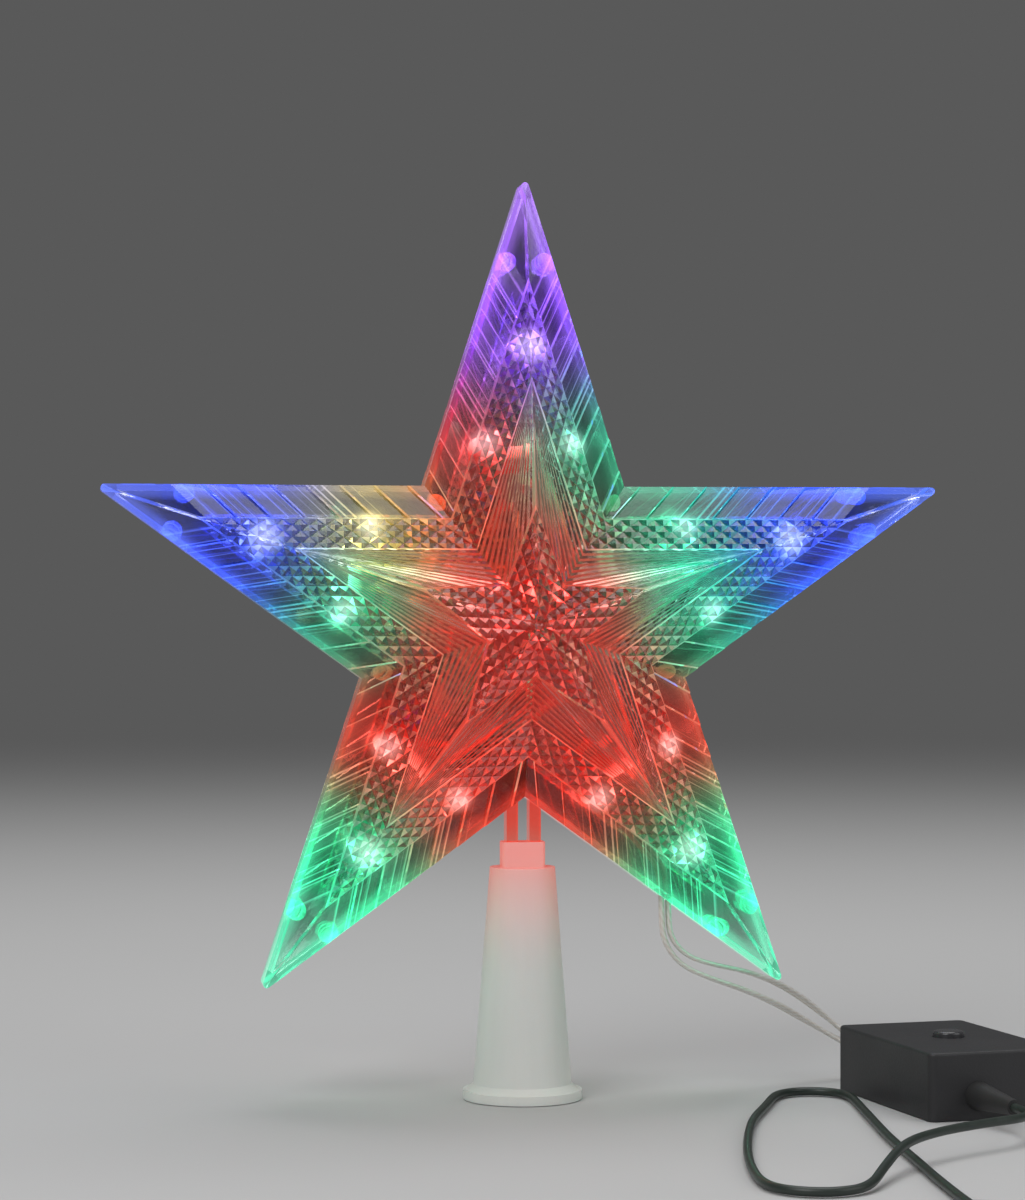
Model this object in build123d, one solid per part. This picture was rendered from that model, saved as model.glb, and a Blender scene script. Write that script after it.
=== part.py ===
from build123d import *
import math
import os

# Lit tree topper star on its cone stand, with its controller and lead.
# Millimetres. Origin under the cone on the table, +Z up, the star's front faces -Y.

# Star outline and shells
ARM_COUNT = 5
BOTTOM_NOTCH = 2
LOWER_RIGHT_ARM = 2
ARM_STEP = 360 / ARM_COUNT
HALF_ARM = ARM_STEP / 2
tip_radius = 117.0
notch_radius = 44.5
tip_round = 1.0
star_height = 123.2
rim_depth = 5.0
apex_rise = 25.0
shell_wall = 2.0
band_radius = 89.5
recess_radius = 62.5
band_raise = 1.2
centre_radius = 30.8
centre_notch_radius = 12.9
centre_raise = 1.8

# Relief moulded on each half of an arm: slanting grooves on the bevel and flutes in the recess
GROOVE_COUNT = 7
groove_first_share = 0.025
groove_pitch_share = 0.135
groove_depth = 1.1
groove_step = 0.6
NOTCH_FLUTES = 6
CENTRE_FLUTES = 5
flute_depth = 0.6

# Locating pegs between the two shells
peg_radius = 2.5
peg_tip_share = 0.8034
peg_tip_offset = 4.6
peg_notch_inset = 5.7
pin_radius = 1.2
pin_length = 3.2
pin_clearance = 0.05
pin_bottom_gap = 0.3

# Lamps, their sleeves and the posts that hold them
led_radius = 2.5
led_body_length = 4.5
led_flange_radius = 2.8
led_flange_length = 1.0
sleeve_radius = 2.0
sleeve_length = 7.0
post_radius = 1.1
post_clearance = 0.1
post_overreach = 2.0
post_root_share = 0.4
tip_led_share = 0.5641
side_led_share = 0.3504
side_led_offset = 10.8
centre_led_places = ((-6.0, 7.0), (5.0, 3.5))

# Splice hub in the middle and the wires inside the star
hub_apothem = 12.5
hub_front_depth = 1.5
hub_back_depth = 6.2
hub_post_radius = 2.0
hub_post_distance = 8.0
inner_wire_radius = 0.55
inner_wire_half_gap = 0.8
side_wire_hub_offset = 4.0
side_wire_straight = 5.0

# Neck prongs under the star and the cone that they stand in
prong_half_span = 4.5
prong_half_gap = 1.5
prong_half_depth = 2.5
prong_root_depth = 1.0
prong_entry = 12.8
neck_reach = 11.9
socket_clearance = 0.1
cone_base_radius = 13.1
cone_top_radius = 8.5
cone_wall = 1.5
flange_radius = 15.5
flange_thickness = 2.4
flange_flare = 1.6
collar_height = 6.6
collar_wall = 1.0
collar_round = 1.2
socket_floor = 1.5

# Four lead wires between the star and the controller
lead_radius = 0.6
lead_half_gap = 0.9
lead_exit_share = 0.548
lead_exit_rise = 2.3
lead_slot_half = 1.8
lead_slot_height = 8.0
tail_depth = 4.3
tail_hub_offset = 3.5
tail_turn_share = 0.3932
tail_side_share = 0.4957
tail_side_offset = 7.2
tail_drop = 6.5

# Controller box, in its own frame: x along the box, y across, z up
box_corner = (85.0, 3.0)
box_turn = -80.44
box_length = 58.0
box_width = 36.0
box_base_height = 10.0
box_lid_height = 7.0
box_wall = 1.6
box_round = 2.0
boss_radius = 2.6
boss_inset = 4.6
screw_radius = 1.1
screw_head_radius = 1.9
screw_head_height = 1.2
screw_recess = 2.2
screw_floor = 1.2
screw_clearance = 0.1
board_level = 4.0
board_thickness = 1.6
board_margin = 1.2
board_post_radius = 1.6
board_post_inset = 10.0

# Parts on the controller board
chip_length = 12.0
chip_width = 7.0
chip_height = 2.6
chip_place = (16.0, 13.5)
capacitor_radius = 2.5
capacitor_height = 5.0
capacitor_places = ((42.0, 9.5), (42.0, 26.5))
driver_width = 3.6
driver_depth = 3.0
driver_height = 4.2
driver_pitch = 5.6
driver_row = (9.0, 24.5)
DRIVER_COUNT = 4

# Mode button and its switch
button_place = (30.0, 18.0)
button_radius = 4.0
button_proud = 1.6
button_flange_radius = 5.2
button_flange_height = 1.0
button_clearance = 0.15
button_travel = 0.8
button_stem_radius = 1.4
switch_half = 3.0
switch_height = 3.4
switch_stem_clearance = 0.1
switch_stem_entry = 1.4
switch_floor = 0.4

# Strain reliefs in the box ends
gland_height = 6.0
gland_neck_radius = 2.8
gland_flange_radius = 3.6
gland_flange_length = 1.4
gland_clearance = 0.05
lead_gland_across = 18.0
lead_gland_length = 6.0
lead_gland_radius = 3.8
mains_gland_across = 13.0
mains_gland_length = 20.0
mains_gland_root_radius = 3.6
mains_gland_end_radius = 1.9

# Mains cord, its put-away coil and the plug
ARC_RUN_SHARE = 0.45
mains_radius = 1.1
mains_exit_run = 9.0
coil_centre = (55.0, -232.0)
coil_outer_radius = 16.1
coil_pitch = 2.75
coil_base_height = 2.0
COIL_LAYERS = 4
TURNS_PER_LAYER = 3
COIL_EXTRA_TURN = 0.25
CLIMB_TURN = 0.5
QUARTERS = 4
GAP_SAMPLES = 48
tie_thickness = 0.6
tie_width = 4.0
tie_clearance = 0.3
plug_tail_run = 6.8
plug_tail_drop_run = 14.8
plug_tail_length = 21.6
plug_centre_height = 6.9
plug_relief_length = 20.0
plug_relief_radius = 3.6
plug_relief_end_radius = 1.7
plug_length = 34.0
plug_width = 35.3
plug_thickness = 13.7
plug_rear_width = 22.0
plug_rear_thickness = 11.0
plug_round = 2.0
plug_pin_radius = 2.0
plug_pin_length = 19.0
plug_pin_spacing = 18.6
plug_pin_seat = 8.0
plug_pin_tip_radius = 0.8

# Colours of the pieces
CLEAR = (0.85, 0.9, 0.95)
WHITE = (0.92, 0.92, 0.9)
BLACK = (0.05, 0.05, 0.06)
GREY = (0.6, 0.6, 0.62)
GREEN = (0.1, 0.4, 0.15)
LAMP_COLOURS = {
    "violet": (0.6, 0.2, 0.9),
    "red": (0.95, 0.1, 0.08),
    "green": (0.1, 0.85, 0.35),
    "blue": (0.15, 0.25, 0.95),
    "yellow": (0.95, 0.8, 0.15),
}

ARM_NAMES = ("top", "right", "lower_right", "lower_left", "left")
ARM_COLOURS = {
    "top": {"tip": "violet", "left": "red", "right": "green"},
    "right": {"tip": "blue", "left": "green", "right": "green"},
    "lower_right": {"tip": "green", "left": "red", "right": "red"},
    "lower_left": {"tip": "green", "left": "red", "right": "red"},
    "left": {"tip": "blue", "left": "green", "right": "yellow"},
}

# Lead route from the star's slot to the controller's rear strain relief.
# Each row: the share of the way between the two, the middle of the four strands from there,
# then half their spread side to side (x, z) and in depth (x, y).
LEAD_ROUTE = (
    (0.0, 0.0, 0.0, 0.0, 0.9, 0.0, 0.0, 0.9),
    (0.0, 0.0, 0.0, -6.2, 0.9, 0.0, 0.0, 0.9),
    (0.0, 0.6, 0.3, -12.9, 0.9, 0.5, 0.0, 0.9),
    (0.1, -1.1, 0.6, -14.0, 0.8, 1.2, 0.0, 1.0),
    (0.2, 1.0, 2.4, -12.6, 0.4, 1.8, -0.3, 1.2),
    (0.35, 0.9, 4.8, -8.3, 0.4, 2.4, -0.5, 1.4),
    (0.5, 1.3, 8.0, -5.4, 0.6, 2.6, -0.6, 1.5),
    (0.65, 0.7, 11.3, -3.8, 0.8, 2.2, -0.5, 1.4),
    (0.8, -0.4, 13.1, -2.7, 0.6, 1.4, 0.2, 1.2),
    (0.9, 0.5, 12.3, -2.2, 0.2, 1.0, 0.7, 0.9),
    (1.0, -1.06, 6.31, 0.0, 0.0, 0.9, 0.89, 0.15),
    (1.0, 0.0, 0.0, 0.0, 0.0, 0.9, 0.89, 0.15),
)
STRANDS = ((-1, -1), (1, -1), (-1, 1), (1, 1))

# Mains cord after its strain relief, over itself, round its loop on the table and off to the coil.
MAINS_ROUTE = (
    (107.6, -90.5, 6.5),
    (95.4, -98.0, 6.7),
    (80.5, -108.5, 6.6),
    (70.0, -120.5, 6.2),
    (62.0, -134.0, 3.4),
    (56.0, -146.0, 1.4),
    (48.2, -150.5, 1.15),
    (39.8, -149.0, 1.15),
    (34.3, -142.5, 1.15),
    (33.9, -129.5, 1.15),
    (37.2, -105.7, 1.15),
    (43.0, -78.3, 1.15),
    (50.0, -51.2, 1.15),
    (57.6, -25.4, 1.15),
    (62.8, -9.5, 1.15),
    (68.0, -3.5, 1.15),
    (75.5, -2.7, 1.15),
    (81.6, -7.2, 1.15),
    (83.2, -14.6, 1.15),
    (81.5, -28.5, 1.15),
    (79.6, -55.0, 1.15),
    (76.6, -84.0, 1.15),
    (75.0, -112.0, 1.15),
    (72.9, -142.0, 1.15),
    (71.7, -172.0, 1.15),
    (71.1, -201.0, 1.9),
)

# Worked out from the sizes above
edge_length = math.sqrt(
    tip_radius**2 + notch_radius**2 - 2 * tip_radius * notch_radius * math.cos(math.radians(HALF_ARM))
)
edge_distance = tip_radius * notch_radius * math.sin(math.radians(HALF_ARM)) / edge_length
slope = apex_rise / edge_distance
wall_rise = shell_wall * math.sqrt(1 + slope**2)
inner_share = 1 - shell_wall / edge_distance
notch_share = notch_radius / tip_radius
shell_top = rim_depth + apex_rise + centre_raise
peg_tip_distance = tip_radius * peg_tip_share
peg_notch_distance = notch_radius - peg_notch_inset
tip_led_distance = tip_radius * tip_led_share
side_led_distance = tip_radius * side_led_share
tail_turn_distance = tip_radius * tail_turn_share
tail_side_distance = tip_radius * tail_side_share
cone_height = star_height - notch_radius - neck_reach - collar_height
prong_bottom_height = cone_height + collar_height - prong_entry
led_post_offset = sleeve_radius + post_clearance + post_radius
box_height = box_base_height + box_lid_height
front_plane = Plane(origin=(0, 0, star_height), x_dir=(1, 0, 0), z_dir=(0, -1, 0))
box_plane = Plane(
    origin=(*box_corner, 0),
    x_dir=(math.cos(math.radians(box_turn)), math.sin(math.radians(box_turn)), 0),
    z_dir=(0, 0, 1),
)


def write(shape, node, colour):
    """Writes one sub-part's solids to its own file."""
    shape.label = node
    shape.color = Color(*colour)
    export_step(shape, f"parts/{node}.step")


def surface_level(share):
    """Height of the plain pyramid over the parting plane where the outline has shrunk to this share."""
    return rim_depth + apex_rise * (1 - share)


def polar(radius, angle):
    """A point in the star's plane, with the angle in degrees clockwise from the top tip."""
    return Vector(radius * math.sin(math.radians(angle)), radius * math.cos(math.radians(angle)), 0)


def arm_point(arm, along, across):
    """A point in the star's plane, along an arm's axis and clockwise of it."""
    return polar(along, arm * ARM_STEP) + polar(across, arm * ARM_STEP + 90)


def star_points(tip, notch, level):
    points = []
    for arm in range(ARM_COUNT):
        points.append(polar(tip, arm * ARM_STEP) + Vector(0, 0, level))
        points.append(polar(notch, arm * ARM_STEP + HALF_ARM) + Vector(0, 0, level))
    return points


def flat_face(points):
    return Face(Wire.make_polygon(points))


def star_frustum(low_tip, low_notch, low_level, high_tip, high_notch, high_level):
    """A star-shaped block with flat faces from one outline up to another."""
    low = star_points(low_tip, low_notch, low_level)
    high = star_points(high_tip, high_notch, high_level)
    count = len(low)
    sides = []
    for i in range(count):
        j = (i + 1) % count
        sides.append(flat_face([low[i], low[j], high[j], high[i]]))
    return Solid(Shell([flat_face(low), flat_face(high), *sides]))


def star_prism(tip, notch, low_level, high_level):
    return star_frustum(tip, notch, low_level, tip, notch, high_level)


def star_pyramid(tip, notch, level, apex_level):
    low = star_points(tip, notch, level)
    apex = Vector(0, 0, apex_level)
    sides = [flat_face([low[i], low[(i + 1) % len(low)], apex]) for i in range(len(low))]
    return Solid(Shell([flat_face(low), *sides]))


def edge_ways():
    """Unit ways along the top arm's right edge, towards its tip, and outwards across the edge."""
    along = (polar(tip_radius, 0) - polar(notch_radius, HALF_ARM)).normalized()
    return along, Vector(along.Y, -along.X, 0)


def plain_point(place, lift=0.0):
    """The plain pyramid's surface over a place on the top arm's right half, or so far above it."""
    out = edge_ways()[1]
    return place + Vector(0, 0, surface_level(place.dot(out) / edge_distance) + lift)


def row_ends(radius):
    """Where a copy of the outline with this radius ends on the arm: at its notch and at its tip."""
    return polar(radius * notch_share, HALF_ARM), polar(radius, 0)


def bevel_creases():
    """The bevel's creases from the notch to the tip, each by its points on the band and on the rim."""
    along, out = edge_ways()
    rim_notch, rim_tip = row_ends(tip_radius)
    band_notch, band_tip = row_ends(band_radius)
    row = (band_tip - band_notch).length
    first, spacing = row * groove_first_share, row * groove_pitch_share
    bevel = edge_distance * (1 - band_radius / tip_radius)
    back = (rim_notch - band_notch).dot(out - along)
    low_cut, high_cut = groove_depth * first / spacing, groove_depth * (first + back) / spacing
    creases = [(plain_point(band_notch, -low_cut), plain_point(rim_notch, -high_cut))]
    for groove in range(GROOVE_COUNT + 1):
        place = band_notch + along * (first + groove * spacing)
        sides = [(place, 0.0)]
        if groove < GROOVE_COUNT:
            sides.append((place + along * groove_step, groove_depth))
        for low, cut in sides:
            creases.append((plain_point(low, -cut), plain_point(low + (along + out) * bevel, -cut)))
    creases.append((plain_point(band_tip), plain_point(rim_tip)))
    return creases


def flute_ends(start, end, count):
    """The far ends of so many flutes along a line, on the ridges and in the valleys between them."""
    ends = []
    for i in range(2 * count + 1):
        cut = flute_depth if i % 2 else 0.0
        ends.append(plain_point(start + (end - start) * (i / (2 * count)), -cut))
    return ends


def half_arm_faces():
    """The outlines of the flat faces on the top arm's right half, from the rim to the middle."""
    creases = bevel_creases()
    lows, highs = [low for low, _ in creases], [high for _, high in creases]
    rim_notch, rim_tip = row_ends(tip_radius)
    band_notch, band_tip = row_ends(band_radius)
    recess_notch, recess_tip = row_ends(recess_radius)
    centre_notch, centre_tip = polar(centre_notch_radius, HALF_ARM), polar(centre_radius, 0)
    centre_level = Vector(0, 0, surface_level(centre_radius / tip_radius) + centre_raise)
    band_edge = [plain_point(band_notch, band_raise), plain_point(band_tip, band_raise)]
    recess_edge = [plain_point(recess_tip, band_raise), plain_point(recess_notch, band_raise)]
    centre_edge = [centre_tip + centre_level, centre_notch + centre_level]
    fan_tip = plain_point(recess_tip)
    notch_ends = flute_ends(recess_notch, centre_notch, NOTCH_FLUTES)
    centre_ends = flute_ends(centre_notch, centre_tip, CENTRE_FLUTES)
    faces = [[*highs, rim_tip, rim_notch]]
    faces += [[lows[i], lows[i + 1], highs[i + 1], highs[i]] for i in range(len(creases) - 1)]
    faces.append([*lows, *band_edge[::-1]])
    faces.append(band_edge + recess_edge)
    faces.append([*recess_edge, plain_point(recess_notch), fan_tip])
    for ends in (notch_ends, centre_ends):
        faces += [[fan_tip, ends[i], ends[i + 1]] for i in range(len(ends) - 1)]
    faces.append([*centre_ends, *centre_edge])
    faces.append([*centre_edge, Vector(0, 0, shell_top)])
    return faces


def shell_outside():
    """One shell's outside, filled, lying on the parting plane."""
    faces = [flat_face(star_points(tip_radius, notch_radius, 0))]
    outlines = half_arm_faces()
    for arm in range(ARM_COUNT):
        for side in (-1, 1):
            for points in outlines:
                placed = [arm_point(arm, p.Y, side * p.X) + Vector(0, 0, p.Z) for p in points]
                faces.append(flat_face(placed))
    body = Solid(Shell(faces))
    outline = make_face(Polyline(*star_points(tip_radius, notch_radius, 0), close=True))
    tips = outline.vertices().sort_by_distance((0, 0, 0))[-ARM_COUNT:]
    return body & extrude(fillet(tips, tip_round), shell_top)


def shell_cavity(root=0.0):
    """The plain inside of a shell, raised into its wall where a root is asked for."""
    tip = tip_radius * inner_share
    notch = notch_radius * inner_share
    corner_level = surface_level(inner_share) - wall_rise + root
    body = star_prism(tip, notch, 0, corner_level)
    return body + star_pyramid(tip, notch, corner_level, rim_depth + apex_rise - wall_rise + root)


def post(place, radius, low, high):
    upright = Cylinder(radius, high - low, align=(Align.CENTER, Align.CENTER, Align.MIN))
    return Pos(place.X, place.Y, low) * upright


def peg_places():
    places = []
    for arm in range(ARM_COUNT):
        for side in (-1, 1):
            places.append(arm_point(arm, peg_tip_distance, side * peg_tip_offset))
        if arm != BOTTOM_NOTCH:
            places.append(polar(peg_notch_distance, arm * ARM_STEP + HALF_ARM))
    return places


def arm_leds():
    """The three lamps of an arm: name, distance to the flange along the arm and offset across it."""
    return (
        ("tip", tip_led_distance, 0.0),
        ("left", side_led_distance, -side_led_offset),
        ("right", side_led_distance, side_led_offset),
    )


def led_post_places():
    places = []
    for arm in range(ARM_COUNT):
        for _, along, across in arm_leds():
            for side in (-1, 1):
                middle = along - sleeve_length / 2
                places.append(arm_point(arm, middle, across + side * led_post_offset))
    return places


def hub_post_places():
    return [polar(hub_post_distance, arm * ARM_STEP + HALF_ARM) for arm in range(ARM_COUNT)]


def neck_prongs():
    """The two half prongs under the bottom notch that plug into the cone."""
    width = prong_half_span - prong_half_gap
    top = -notch_radius + prong_root_depth
    length = top - (prong_bottom_height - star_height)
    prongs = []
    for side in (-1, 1):
        middle = side * (prong_half_gap + prong_half_span) / 2
        block = Box(width, length, prong_half_depth, align=(Align.CENTER, Align.MAX, Align.MIN))
        prongs.append(Pos(middle, top, 0) * block)
    return prongs


def lead_exit():
    """Where the lead wires cross the rim, on the lower edge of the lower right arm."""
    notch = polar(notch_radius, BOTTOM_NOTCH * ARM_STEP + HALF_ARM)
    tip = polar(tip_radius, LOWER_RIGHT_ARM * ARM_STEP)
    return notch + (tip - notch) * lead_exit_share + Vector(0, lead_exit_rise, 0)


def lead_slot():
    """The notch in the rim's lower edge that the four lead wires leave through."""
    place = lead_exit()
    return Pos(place.X, place.Y, 0) * Box(2 * lead_slot_half, lead_slot_height, 2 * lead_slot_half)


def shell_pair():
    rooted = shell_cavity(wall_rise * post_root_share)
    shell = shell_outside() - shell_cavity()
    shell += [post(place, peg_radius, 0, shell_top) & rooted for place in peg_places()]
    shell += neck_prongs()
    shell -= lead_slot()
    socket_radius, socket_depth = pin_radius + pin_clearance, pin_length + pin_bottom_gap
    front = shell - [post(place, socket_radius, 0, socket_depth) for place in peg_places()]
    back = shell + [post(place, pin_radius, -pin_length, 0) for place in peg_places()]
    back += [post(place, post_radius, 0, shell_top) & rooted for place in led_post_places()]
    back += [post(place, post_radius, -post_overreach, 0) for place in led_post_places()]
    back += [post(place, hub_post_radius, hub_back_depth, shell_top) & rooted for place in hub_post_places()]
    front = front_plane * front
    back = (front_plane * back).mirror(Plane.XZ)
    return front, back


def led_lamp():
    """One lamp along +Z, with its flange's back face at the origin."""
    seat = (Align.CENTER, Align.CENTER, Align.MIN)
    dome_level = led_flange_length + led_body_length
    base = Cylinder(led_flange_radius, led_flange_length, align=seat)
    body = Cylinder(led_radius, dome_level, align=seat)
    dome = Pos(0, 0, dome_level) * Sphere(led_radius)
    return base + body + dome


def arm_plane(arm, along, across, depth=0.0):
    """A plane in the star with +Z outward along the arm and +Y out of the star's front."""
    origin = front_plane.from_local_coords(arm_point(arm, along, across) + Vector(0, 0, depth))
    outward = polar(1, arm * ARM_STEP)
    return Plane(origin=origin, x_dir=(outward.Y, 0, -outward.X), z_dir=(outward.X, 0, outward.Y))


def sleeve():
    return Cylinder(sleeve_radius, sleeve_length, align=(Align.CENTER, Align.CENTER, Align.MAX))


def star_wire(points, radius):
    """A wire along points given in the star's plane, as (x, y, depth) vectors."""
    places = [front_plane.from_local_coords(p) for p in points]
    return wire_tube(places, radius)[0]


def corner_radii(points):
    """The largest arcs that the runs allow, one for each inner point."""
    radii = []
    for before, here, after in zip(points, points[1:], points[2:]):
        turn = (here - before).get_angle(after - here)
        run = min((here - before).length, (after - here).length)
        radii.append(ARC_RUN_SHARE * run / math.tan(math.radians(turn / 2)))
    return radii


def wire_tube(points, radius):
    """A round wire on straight runs joined by tangent arcs, with its radii and length."""
    points = [Vector(*p) for p in points]
    radii = corner_radii(points)
    path = FilletPolyline(*points, radius=radii) if radii else Line(points[0], points[1])
    start = Plane(origin=points[0], z_dir=points[1] - points[0])
    tube = sweep(start * Circle(radius), path=path)
    length = sum(edge.length for edge in path.edges())
    return tube, radii, length


def report_tube(node, tube, radii, length, radius):
    expected = math.pi * radius**2 * length
    print(node, "length", round(length, 1), "least radius", round(min(radii), 1),
          "radii", [round(r, 1) for r in radii], "volume share", round(tube.volume / expected, 4))


def arm_harness(arm):
    """The twin wires from an arm's three sleeves to the hub."""
    wires = []
    for name, along, across in arm_leds():
        side = 0 if name == "tip" else math.copysign(1, across)
        hub_across = side * side_wire_hub_offset
        sleeve_end = along - sleeve_length
        for twin in (-1, 1):
            shift = twin * inner_wire_half_gap
            stations = [(sleeve_end, across + shift)]
            if side:
                stations.append((sleeve_end - side_wire_straight, across + shift))
                stations.append((hub_apothem + side_wire_straight, hub_across + shift))
            stations.append((hub_apothem, hub_across + shift))
            wires.append(star_wire([arm_point(arm, *station) for station in stations], inner_wire_radius))
    return Compound(children=[Solid(w.solid().wrapped) for w in wires])


def lead_tail():
    """The four wires inside the star, from the hub's lower right side to the slot in the rim."""
    out = lead_exit()
    stations = (
        (hub_apothem, tail_hub_offset),
        (tail_turn_distance, tail_hub_offset),
        (tail_side_distance, tail_side_offset),
    )
    wires = []
    for side, layer in STRANDS:
        shift = side * lead_half_gap
        level = Vector(0, 0, -layer * lead_half_gap)
        deep = level - Vector(0, 0, tail_depth)
        points = [arm_point(LOWER_RIGHT_ARM, along, across - shift) + deep for along, across in stations]
        points.append(out + level + Vector(shift, tail_drop, 0))
        points.append(out + level + Vector(shift, 0, 0))
        wires.append(star_wire(points, lead_radius))
    return wires


def hub_block():
    """The potted splice block in the middle, with a flat side towards each arm."""
    outline = RegularPolygon(hub_apothem, ARM_COUNT, major_radius=False, rotation=-90)
    block = extrude(outline, hub_front_depth + hub_back_depth)
    return front_plane * (Pos(0, 0, -hub_back_depth) * block)


def tree_cone():
    """The hollow white cone with its flange, and the keyed collar on top."""
    inner_top = prong_bottom_height - socket_floor
    lean = (cone_base_radius - cone_top_radius) / cone_height
    inner_base = cone_base_radius - cone_wall
    outline = Polyline(
        (inner_base, 0), (flange_radius, 0), (flange_radius, flange_thickness),
        (cone_base_radius + flange_flare, flange_thickness),
        (cone_base_radius - lean * (flange_thickness + flange_flare), flange_thickness + flange_flare),
        (cone_top_radius, cone_height), (0, cone_height), (0, inner_top),
        (inner_base - lean * inner_top, inner_top), close=True,
    )
    cone = revolve(make_face(Plane.XZ * outline), Axis.Z)
    socket_half_x = prong_half_span + socket_clearance
    socket_half_y = prong_half_depth + socket_clearance
    collar = RectangleRounded(
        2 * (socket_half_x + collar_wall), 2 * (socket_half_y + collar_wall), collar_round
    )
    cone += Pos(0, 0, cone_height) * extrude(collar, collar_height)
    socket_top = cone_height + collar_height
    socket = Box(
        2 * socket_half_x, 2 * socket_half_y, socket_top - prong_bottom_height,
        align=(Align.CENTER, Align.CENTER, Align.MIN),
    )
    return cone - Pos(0, 0, prong_bottom_height) * socket


def box_blank(length, width, height, corner):
    return extrude(RectangleRounded(length, width, corner, align=(Align.MIN, Align.MIN)), height)


def corner_places(inset):
    return [
        Vector(x, y, 0)
        for x in (inset, box_length - inset)
        for y in (inset, box_width - inset)
    ]


def gland_hole(x, across):
    radius = gland_neck_radius + gland_clearance
    return Pos(x, across, gland_height) * Rot(0, 90, 0) * Cylinder(radius, 3 * box_wall)


def controller_base():
    inside = box_blank(
        box_length - 2 * box_wall, box_width - 2 * box_wall, box_base_height, box_round - box_wall / 2
    )
    base = box_blank(box_length, box_width, box_base_height, box_round)
    base -= Pos(box_wall, box_wall, box_wall) * inside
    for place in corner_places(boss_inset):
        base += post(place, boss_radius, 0, box_base_height)
        base -= post(place, screw_radius + screw_clearance, 0, box_base_height)
        base -= post(place, screw_head_radius + screw_clearance, 0, screw_recess)
    for place in corner_places(board_post_inset):
        base += post(place, board_post_radius, 0, board_level)
    base -= gland_hole(0, lead_gland_across)
    base -= gland_hole(box_length, mains_gland_across)
    return base


def controller_lid():
    inside = box_blank(
        box_length - 2 * box_wall, box_width - 2 * box_wall, box_lid_height - box_wall,
        box_round - box_wall / 2,
    )
    lid = Pos(0, 0, box_base_height) * box_blank(box_length, box_width, box_lid_height, box_round)
    lid = fillet(lid.faces().sort_by(Axis.Z)[-1].edges(), box_wall / 2)
    lid -= Pos(box_wall, box_wall, box_base_height) * inside
    for place in corner_places(boss_inset):
        lid += post(place, boss_radius, box_base_height, box_height - box_wall)
        lid -= post(place, screw_radius, box_base_height, box_height - box_wall - screw_floor)
    hole = button_radius + button_clearance
    return lid - post(Vector(*button_place, 0), hole, box_base_height, box_height)


def controller_screws():
    """Four screws that hold the lid from below, in recesses in the base."""
    top = box_height - box_wall - screw_floor
    screws = []
    for place in corner_places(boss_inset):
        head = post(place, screw_head_radius, screw_recess - screw_head_height, screw_recess)
        screws.append(head + post(place, screw_radius, screw_recess, top))
    return screws


def controller_board():
    end_margin = box_wall + gland_clearance + gland_flange_length + board_margin
    side_margin = box_wall + board_margin
    length = box_length - 2 * end_margin
    width = box_width - 2 * side_margin
    board = Pos(end_margin, side_margin, board_level) * Box(length, width, board_thickness, align=Align.MIN)
    for place in corner_places(boss_inset):
        board -= post(place, boss_radius + board_margin, board_level, board_level + board_thickness)
    return board


def board_parts():
    """The chip, the two capacitors and the row of lamp drivers on the board."""
    top = board_level + board_thickness
    on_board = (Align.CENTER, Align.CENTER, Align.MIN)
    chip = Pos(*chip_place, top) * Box(chip_length, chip_width, chip_height, align=on_board)
    parts = [chip]
    for place in capacitor_places:
        parts.append(post(Vector(*place, 0), capacitor_radius, top, top + capacitor_height))
    for i in range(DRIVER_COUNT):
        x = driver_row[0] + i * driver_pitch
        driver = Box(driver_width, driver_depth, driver_height, align=on_board)
        parts.append(Pos(x, driver_row[1], top) * driver)
    return parts


def mode_switch():
    top = board_level + board_thickness
    on_board = (Align.CENTER, Align.CENTER, Align.MIN)
    body = Pos(*button_place, top) * Box(2 * switch_half, 2 * switch_half, switch_height, align=on_board)
    bore = button_stem_radius + switch_stem_clearance
    depth = switch_stem_entry + button_travel + switch_floor
    return body - post(Vector(*button_place, 0), bore, top + switch_height - depth, top + switch_height)


def mode_button():
    """The push button, with its flange under the lid and its stem in the switch."""
    place = Vector(*button_place, 0)
    under_lid = box_height - box_wall - button_clearance
    switch_top = board_level + board_thickness + switch_height
    cap = post(place, button_radius, under_lid - button_flange_height, box_height + button_proud)
    cap = fillet(cap.faces().sort_by(Axis.Z)[-1].edges(), button_proud / 2)
    cap += post(place, button_flange_radius, under_lid - button_flange_height, under_lid)
    return cap + post(place, button_stem_radius, switch_top - switch_stem_entry, under_lid)


def gland(x, across, outward, outer):
    """A strain relief with a neck in the box's wall, a flange inside and its outer body."""
    place = Pos(x, across, gland_height) * Rot(0, 90 * outward, 0)
    seat = (Align.CENTER, Align.CENTER, Align.MAX)
    neck = Cylinder(gland_neck_radius, box_wall + gland_clearance, align=seat)
    flange = Cylinder(gland_flange_radius, gland_flange_length, align=seat)
    return place * (neck + Pos(0, 0, -box_wall - gland_clearance) * flange + outer)


def lead_gland():
    outer = Cylinder(lead_gland_radius, lead_gland_length, align=(Align.CENTER, Align.CENTER, Align.MIN))
    return gland(0, lead_gland_across, -1, outer)


def mains_gland():
    outer = Cone(
        mains_gland_root_radius, mains_gland_end_radius, mains_gland_length,
        align=(Align.CENTER, Align.CENTER, Align.MIN),
    )
    return gland(box_length, mains_gland_across, 1, outer)


def lead_strand(side, layer):
    """One strand's route from the slot in the rim to the controller's rear strain relief."""
    start = front_plane.from_local_coords(lead_exit())
    end = box_plane.from_local_coords(Vector(-lead_gland_length, lead_gland_across, gland_height))
    points = []
    for share, x, y, z, side_x, side_z, layer_x, layer_y in LEAD_ROUTE:
        spread = Vector(side * side_x + layer * layer_x, layer * layer_y, side * side_z)
        points.append(start + (end - start) * share + Vector(x, y, z) + spread)
    return points


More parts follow.
